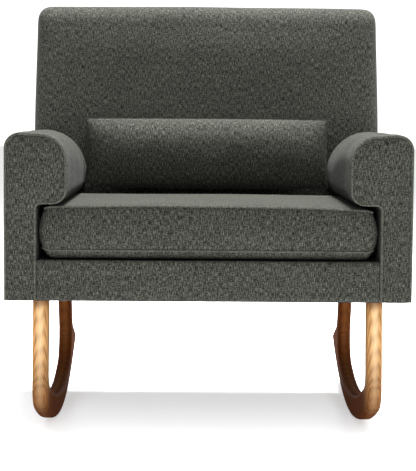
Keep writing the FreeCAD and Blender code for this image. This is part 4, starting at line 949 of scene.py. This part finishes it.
@dataclass
class Back(Assembly):
    """The upholstered back: one stuffed block that leans, and the flat outside panel behind it."""

    low: float = BODY_LOW + 2 * MM
    step: float = 0.012
    crown: float = 0.010
    half_deep: float = 0.060
    bare_low: float = 0.62

    def stuffed_block(self) -> Piece:
        """Front, top and sides of the back, softly crowned."""
        middle = (self.low + BACK_TOP) / 2
        half = np.array([HALF_WIDTH, self.half_deep, (BACK_TOP - self.low) / 2])
        unit, faces = box_grid(tuple(half), self.step)
        points = unit * half
        upper = ease((points[:, 2] + half[2]) / half[2])[:, None]
        deep = np.where(points[:, 1:2] < 0, 0.030 + 0.014 * upper, 0.0012)
        radii = np.concatenate([0.016 + 0.014 * upper, deep, 0.010 + 0.022 * upper], 1)
        points = round_off(points, half, radii)
        moved = []
        for across, deep, up in points:
            height = middle + up
            share = (deep + half[1]) / (2 * half[1])
            spot = np.array([across, 0.0, height])
            u, v = across / half[0], (height - self.bare_low) / (BACK_TOP - self.bare_low)
            bulge = self.crown * max(0.0, 1 - u ** 4) * soft((BACK_TOP - height) / 0.11)
            bulge *= soft((height - 0.42) / 0.2)
            front = back_front_y(height) + 3 * MM - bulge - 1.6 * MM * ripple(spot, 5.0, 11.0)
            rear = back_rear_y(height) - 0.8 * MM
            crest = 2.5 * MM * (1 - u ** 2) + 0.5 * MM + 0.8 * MM * ripple(spot, 6.0, 2.0)
            lift = crest * soft((v - 0.8) / 0.2)
            # Below the arms' seam the block stands inside the outside panels.
            above = soft((height - (ARM_TOP - 0.034)) / 0.008)
            tuck = 3.5 * MM * (1 - above) - 3.0 * MM * above * soft((BACK_TOP - 0.02 - height) / 0.25)
            moved.append((across * (1 - tuck / half[0]), front + share * (rear - front), height + lift))
        piece = self.make("back_stuffed_block", np.array(moved), faces, "back_inside_cover", "back_pad",
                          subdivide=1)
        return piece

    def outside_panel(self) -> Piece:
        """Flat cloth panel behind the back, closed by hand below the top edge."""
        high = BACK_TOP - 0.024
        half = HALF_WIDTH - 0.5 * MM
        rows, columns = 48, 60
        front, shell = [], []
        for row in range(rows + 1):
            up = BODY_LOW + (high - BODY_LOW) * row / rows
            for column in range(columns + 1):
                across = half * (2 * column / columns - 1)
                edge = min(half - abs(across), high - up, up - BODY_LOW)
                swell = 1.6 * MM * soft(edge / 0.04) + 1.2 * MM * soft(edge / 0.006)
                spot = np.array([across, 0.0, up])
                swell += 0.7 * MM * ripple(spot, 6.0, 21.0) * soft(edge / 0.05)
                across *= 1 - 0.006 * soft((up - 0.855) / 0.02)
                front.append((across, back_rear_y(up) - 1.0 * MM + swell, up))
                shell.append((across, back_rear_y(up) - 9.0 * MM, up))
        return self.make("back_outside_panel", np.array(front + shell), closed_panel(rows, columns),
                         "back_outside_cover")

    def build(self) -> list[Piece]:
        """Make the back."""
        return [self.stuffed_block(), self.outside_panel()]


# ------------------------------------------------------------------ seat body

@dataclass
class SeatBody(Assembly):
    """What carries the cushion: the front border between the arms, the deck and the dust cover."""

    half: float = 0.3366
    border_depth: float = 0.039
    cell: float = 0.020
    spring_pitch: float = 0.112

    def front_border(self) -> Piece:
        """Padded strip under the cushion, tight between the arms' facings."""
        middle = np.array([0.0, FRONT_Y + self.border_depth / 2, (BODY_LOW + DECK_TOP) / 2])
        half = np.array([self.half + 2 * MM, self.border_depth / 2, (DECK_TOP - BODY_LOW) / 2])
        unit, faces = box_grid(tuple(half), 0.008)
        points = round_off(unit * half, half, np.array([[0.002, 0.007, 0.006]]))
        moved = []
        for across, deep, up in points:
            spot = np.array([across, 0.0, up])
            edge = min(half[0] - abs(across), half[2] - abs(up))
            swell = 1.6 * MM * soft(edge / 0.02) * soft(-deep / half[1])
            swell += 0.5 * MM * ripple(spot, 9.0, 31.0) * soft(-deep / half[1])
            crest = 3.5 * MM * soft(-deep / half[1]) if up > 0 else 0.0
            moved.append(middle + np.array([across, deep - swell, up + crest * up / half[2]]))
        piece = self.make("front_border_stuffed", np.array(moved), faces, "front_border_cover",
                          "front_border_pad", subdivide=1)
        return piece

    def deck(self) -> Piece:
        """The cloth deck over felt and springs, pulled tight and a little uneven over the springs."""
        front, rear = FRONT_Y + self.border_depth + 0.4 * MM, FRONT_Y + 0.572
        middle = np.array([0.0, (front + rear) / 2, DECK_TOP - 8 * MM])
        half = np.array([self.half, (rear - front) / 2, 7.2 * MM])
        unit, faces = box_grid(tuple(half), 0.014)
        points = round_off(unit * half, half, np.array([[0.003, 0.003, 0.003]]))
        moved = []
        for across, deep, up in points:
            spring = 0.5 - 0.5 * math.cos(2 * math.pi * across / self.spring_pitch)
            edge = soft(min(half[0] - abs(across), half[1] - abs(deep)) / 0.05)
            dip = (0.8 * MM * spring + 0.6 * MM * ripple(np.array([across, deep, 0.0]), 8.0, 41.0)) * edge
            moved.append(middle + np.array([across, deep, up - (dip if up > 0 else 0.0)]))
        piece = self.make("deck_platform", np.array(moved), faces, "deck_cloth", "deck_felt",
                          finish=Finish.deck_cloth)
        return piece

    def dust_cover(self) -> Piece:
        """Spunbond cloth stapled under the body; it keeps its slots for the legs and sags a little."""
        build = cut_in_cells("dust_cover", (0, 1), self.cell)
        low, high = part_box("dust_cover")
        for vert in build.verts:
            edge = min(vert.co.x - low[0], high[0] - vert.co.x, vert.co.y - low[1], high[1] - vert.co.y)
            pull = soft((edge - 0.012) / 0.15)
            vert.co.z -= pull * (3.0 * MM + 1.2 * MM * ripple(np.array(vert.co), 7.0, 51.0))
        piece = from_cad("dust_cover_cloth", build, "dust_cover", Finish.dust_cloth, self.wardrobe)
        smooth(piece)
        return piece

    def build(self) -> list[Piece]:
        """Make the seat body."""
        return [self.front_border(), self.deck(), self.dust_cover()]


# ------------------------------------------------------------------ loose cushions

@dataclass
class SeatCushion(Assembly):
    """Loose boxed cushion: crowned panels, a boxing that swells between two piped seams."""

    body: ClassVar[str] = "seat_cushion"
    half_x: float = 0.330
    front: float = FRONT_Y + 3 * MM
    rear: float = FRONT_Y + 0.520
    low: float = 0.3695
    low_seam: float = 0.389
    top_seam: float = 0.4765
    corner: float = 0.024
    piping_radius: float = 2.0 * MM
    rise: float = 4.5 * MM
    crown: float = 2.0 * MM
    seam_inset: float = 7.0 * MM
    swell: float = 10.0 * MM

    def plan(self, inset: float) -> np.ndarray:
        """The cushion's outline from above, drawn in a little between its corners.

        Args:
            inset: how far inside the outline.

        Returns:
            The outline's points, X and Y.
        """
        radius = max(self.corner - inset, 3 * MM)
        mid_y = (self.front + self.rear) / 2
        half_y = (self.rear - self.front) / 2 - inset
        half_x = self.half_x - inset
        corners = [(-half_x, mid_y - half_y, radius), (half_x, mid_y - half_y, radius),
                   (half_x, mid_y + half_y, radius), (-half_x, mid_y + half_y, radius)]
        return rounded_loop(corners, (56, 42, 56, 42))

    def shares(self, grid: np.ndarray) -> tuple[np.ndarray, np.ndarray]:
        """How far points lie to the side and to the rear of the cushion's middle, from -1 to 1."""
        mid_y = (self.front + self.rear) / 2
        return (np.clip(grid[..., 0] / self.half_x, -1, 1),
                np.clip((grid[..., 1] - mid_y) / ((self.rear - self.front) / 2), -1, 1))

    def slump(self, grid: np.ndarray) -> np.ndarray:
        """Let the corners of the cushion droop and its cover wander a little, rear face aside.

        Args:
            grid: points, with X, Y and Z in the last place.

        Returns:
            The moved points.
        """
        moved = grid.copy()
        u, v = self.shares(grid)
        share = np.clip((grid[..., 2] - self.low) / (self.top_seam - self.low), 0, 1)
        side = np.abs(u)
        droop = np.where(u > 0, 8.0 * MM, 4.0 * MM) * side ** 2.2 * (0.75 - 0.25 * v)
        droop += 7.0 * MM * ease((side - 0.93) / 0.08) ** 1.5 + 3.0 * MM * (0.5 + 0.5 * v) * (1 - side ** 4)
        moved[..., 2] -= ease(share) * droop
        moved[..., 2] += (1 - share) * 5.0 * MM * ease((side - 0.94) / 0.06)
        for index in np.ndindex(grid.shape[:-1]):
            spot = grid[index]
            ahead = soft((0.95 - v[index]) / 0.1)
            rising = 1.0 * MM * ripple(spot, 7.0, 61.0) + 0.35 * MM * ripple(spot, 26.0, 67.0)
            moved[index][2] += rising * soft((share[index] - 0.15) / 0.5) * ahead
            shifting = 1.3 * MM * ripple(spot, 8.0, 71.0) + 0.4 * MM * ripple(spot, 28.0, 73.0)
            moved[index][1] += shifting * ahead
        return moved

    def surface(self) -> tuple[np.ndarray, list]:
        """The whole cover as rings from the middle of the bottom, up the boxing, to the middle of the top."""
        rings = []
        insets = (150, 110, 80, 58, 42, 30, 21, 14, 9, 5.5, 3.2, 1.6)
        for inset in insets:
            drop = (self.low_seam - self.low) * (1 - math.exp(-inset * MM / 0.009))
            outline = self.plan(inset * MM + self.seam_inset * 0.6)
            rings.append([(x, y, self.low_seam - drop) for x, y in outline])
        for part in np.linspace(0, 1, 17):
            full = 1 - abs(2 * part - 1) ** 2.2
            inset = self.seam_inset * (0.6 + 0.4 * part) + 0.6 * MM - self.swell * full
            inset += 1.0 * MM * (math.exp(-part / 0.03) + math.exp(-(1 - part) / 0.03))
            rings.append([(x, y, self.low_seam + part * (self.top_seam - self.low_seam))
                          for x, y in self.plan(inset)])
        for inset in reversed(insets):
            lift = self.rise * (1 - math.exp(-inset * MM / 0.018))
            rings.append([(x, y, self.top_seam + lift) for x, y in self.plan(inset * MM + self.seam_inset)])
        grid = np.array(rings)
        u, v = self.shares(grid)
        upper = ease((grid[:, :, 2] - self.top_seam) / (3 * MM))
        grid[:, :, 2] += self.crown * (1 - u ** 2) * (1 - v ** 4) * upper
        # The rear face lies flat on the zip.
        flat = grid[:, :, 1] > self.rear - 3 * MM
        grid[:, :, 1] = np.where(flat, np.minimum(grid[:, :, 1], self.rear), grid[:, :, 1])
        return loft(self.slump(grid))

    def build(self) -> list[Piece]:
        """Make the cushion with its two lines of piping."""
        cover = self.make("seat_cushion_cover", *self.surface(), "seat_cushion_foam",
                          "seat_cushion_top_panel", "seat_cushion_bottom_panel", "seat_cushion_boxing")
        cords = []
        for name, height, inset in (("lower", self.low_seam, 0.6), ("upper", self.top_seam, 1.0)):
            loop = self.plan(self.seam_inset * inset - 0.4 * MM)
            path = self.slump(np.array([(x, y, height) for x, y in loop]))
            stands = ("seat_cushion_welts",) if name == "upper" else ()
            cord = tube(path, self.piping_radius, closed=True)
            cords.append(self.make(f"seat_cushion_{name}_piping", *cord, *stands, finish=Finish.piping))
        return [cover, *cords]


@dataclass
class LumbarPillow(Assembly):
    """Loose knife-edge pillow, fuller in the middle, with soft drawn-in corners."""

    body: ClassVar[str] = "lumbar_pillow"
    half_x: float = 0.275
    half_z: float = 0.078
    half_thick: float = 0.056
    columns: int = 84
    rows: int = 32
    seam_radius: float = 1.3 * MM

    def panel(self, front: bool) -> list[list[np.ndarray]]:
        """One panel in the pillow's own upright frame, from edge to edge."""
        lines = []
        for row in range(self.rows + 1):
            v = -math.cos(math.pi * row / self.rows)
            line = []
            for column in range(self.columns + 1):
                u = -math.cos(math.pi * column / self.columns)
                across = self.half_x * u * (1 - 0.012 * (1 - v * v))
                up = self.half_z * v * (1 + 0.02 * (1 - u * u))
                full = (max(0.0, 1 - abs(u) ** 3.2) ** 0.55) * (max(0.0, 1 - abs(v) ** 2.4) ** 0.62)
                spot = np.array([across, 0.0, up])
                slack = 1 + 0.05 * ripple(spot, 9.0, 81.0) + 0.02 * ripple(spot, 30.0, 83.0)
                deep = self.half_thick * full * slack * (-1 if front else 1)
                line.append(np.array([across, deep, up]))
            lines.append(line)
        return lines

    def build(self) -> list[Piece]:
        """Make the pillow and the cord of its seam."""
        low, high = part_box("lumbar_pillow_fill")
        centre = Vector((0.0, (low[1] + high[1]) / 2, (low[2] + high[2]) / 2))
        lean = Matrix.Rotation(-math.atan(FRONT_LEAN), 4, "X")
        place = Matrix.Translation(centre) @ lean
        front, rear = (np.array(self.panel(side)).reshape(-1, 3) for side in (True, False))
        faces = two_skins(self.rows, self.columns)
        points = np.array([place @ Vector(p) for p in np.concatenate([front, rear])])
        cover = self.make("lumbar_pillow_cover", points, faces, "lumbar_pillow_fill",
                          "lumbar_pillow_front_panel", "lumbar_pillow_rear_panel")
        path = np.array([place @ Vector(front[i]) for i in rim_of(self.rows, self.columns)])
        keep = [0]
        for index in range(1, len(path)):
            if np.linalg.norm(path[index] - path[keep[-1]]) > 1.5 * MM:
                keep.append(index)
        return [cover, self.make("lumbar_pillow_seam",
                                 *tube(path[keep], self.seam_radius, closed=True, around=8))]


# ------------------------------------------------------------------ what CAD carries over

def dress_cad_nodes(wardrobe: Wardrobe) -> int:
    """Dress every CAD node by the slot that the record gives it.

    Args:
        wardrobe: makes the finishes.

    Returns:
        How many nodes were dressed.
    """
    slots = {part["node"]: part["material_slot"] for part in frame["record"]["subparts"]}
    for name, node in frame["nodes"].items():
        wardrobe.dress(node, Finish[slots[name]])
    return len(slots)


# ------------------------------------------------------------------ stage

@dataclass
class Studio:
    """Camera some three metres off, a pale floor and large soft lights."""

    eye: Triple = (-0.0335, -3.4558, 0.6515)
    yaw: float = math.radians(0.605)
    pitch: float = math.radians(4.327)
    roll: float = math.radians(0.439)
    lens: float = 119.9

    def camera(self) -> None:
        """Make the camera; the scene uses it."""
        data = bpy.data.cameras.new("camera")
        data.lens = self.lens
        data.sensor_width = 36.0
        data.clip_end = 60.0
        camera = bpy.data.objects.new("camera", data)
        ahead = Vector((math.sin(self.yaw) * math.cos(self.pitch), math.cos(self.yaw) * math.cos(self.pitch),
                        -math.sin(self.pitch)))
        right = Vector((math.cos(self.yaw), -math.sin(self.yaw), 0.0))
        up = right.cross(ahead)
        tilted_right = right * math.cos(self.roll) + up * math.sin(self.roll)
        tilted_up = up * math.cos(self.roll) - right * math.sin(self.roll)
        turn = Matrix((tilted_right, tilted_up, -ahead)).transposed().to_4x4()
        camera.matrix_world = Matrix.Translation(self.eye) @ turn
        bpy.context.scene.collection.objects.link(camera)
        bpy.context.scene.camera = camera

    def floor(self) -> None:
        """A wide pale floor."""
        mesh = bpy.data.meshes.new("floor")
        wide = 30.0
        mesh.from_pydata([(-wide, -wide, 0), (wide, -wide, 0), (wide, wide, 0), (-wide, wide, 0)], [],
                         [(0, 1, 2, 3)])
        floor = bpy.data.objects.new("floor", mesh)
        bpy.context.scene.collection.objects.link(floor)
        material, tree = start_material("studio floor, glowing with painted light")
        place = add_node(tree, "ShaderNodeTexCoord")
        spot = add_node(tree, "ShaderNodeSeparateXYZ", {0: place.outputs["Object"]})
        # The floor glows by itself, brightest ahead of the chair and fading towards the rear: painted light that
        # lifts the shadow under the chair.
        painted_glow = add_node(tree, "ShaderNodeMapRange", {0: spot.outputs[1], 1: -0.3, 2: 0.6, 3: 0.62, 4: 0.0})
        shader = add_node(tree, "ShaderNodeBsdfPrincipled",
                          {"Base Color": (0.9, 0.9, 0.9, 1), "Roughness": 0.9, "Specular IOR Level": 0.0,
                           "Emission Color": (1.0, 1.0, 1.0, 1), "Emission Strength": painted_glow.outputs[0]})
        add_node(tree, "ShaderNodeOutputMaterial", {"Surface": shader.outputs[0]})
        mesh.materials.append(material)

    def panel_light(self, name: str, place: Triple, target: Triple, size: Span, radiance: float) -> None:
        """A rectangular softbox aimed at a point.

        Args:
            name: the light's name.
            place: its centre.
            target: the point that it faces.
            size: width and height.
            radiance: how bright its face is.
        """
        data = bpy.data.lights.new(name, "AREA")
        data.shape = "RECTANGLE"
        data.size, data.size_y = size
        data.energy = radiance * math.pi * size[0] * size[1]
        light = bpy.data.objects.new(name, data)
        away = Vector(target) - Vector(place)
        light.matrix_world = Matrix.Translation(place) @ away.to_track_quat("-Z", "Y").to_matrix().to_4x4()
        bpy.context.scene.collection.objects.link(light)

    def build(self) -> None:
        """Make camera, floor, lights and surroundings."""
        bpy.context.scene.view_settings.view_transform = "Standard"
        self.camera()
        self.floor()
        self.panel_light("overhead softbox", (0.38, 0.70, 4.2), (0.0, -0.05, 0.5), (1.3, 1.0), 175.0)
        self.panel_light("front softbox", (0.6, -4.6, 2.4), (0.0, -0.3, 0.3), (3.0, 1.6), 4.3)
        world = bpy.data.worlds.new("white studio")
        world.use_nodes = True
        world.node_tree.nodes.clear()
        # The cyclorama is bright ahead and behind, and falls off to both sides.
        aim = add_node(world.node_tree, "ShaderNodeTexCoord")
        parts = add_node(world.node_tree, "ShaderNodeSeparateXYZ", {0: aim.outputs["Generated"]})
        aside = add_node(world.node_tree, "ShaderNodeMath", {0: parts.outputs[0]}, operation="ABSOLUTE")
        level = add_node(world.node_tree, "ShaderNodeMapRange",
                         {0: aside.outputs[0], 1: 0.2, 2: 0.9, 3: 1.25, 4: 0.1})
        above = add_node(world.node_tree, "ShaderNodeMapRange",
                         {0: parts.outputs[2], 1: 0.22, 2: 0.40, 3: 1.25, 4: level.outputs[0]})
        sky = add_node(world.node_tree, "ShaderNodeBackground",
                       {"Color": (1.0, 1.0, 1.0, 1), "Strength": above.outputs[0]})
        add_node(world.node_tree, "ShaderNodeOutputWorld", {"Surface": sky.outputs[0]})
        bpy.context.scene.world = world


def main() -> None:
    """Build every sub-assembly in order and report each piece."""
    logging.basicConfig(level=logging.INFO, format="%(name)s: %(message)s")
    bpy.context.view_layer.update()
    wardrobe = Wardrobe()
    Studio().build()
    log.info("dressed %d nodes of the frame", dress_cad_nodes(wardrobe))
    for assembly in (Rockers(wardrobe), SeatBody(wardrobe), Arms(wardrobe), Back(wardrobe),
                     SeatCushion(wardrobe), LumbarPillow(wardrobe)):
        for piece in assembly.build():
            log.info("%s: %s, %d faces", type(assembly).__name__, piece.name, len(piece.data.polygons))


if __name__ == "__main__":
    main()
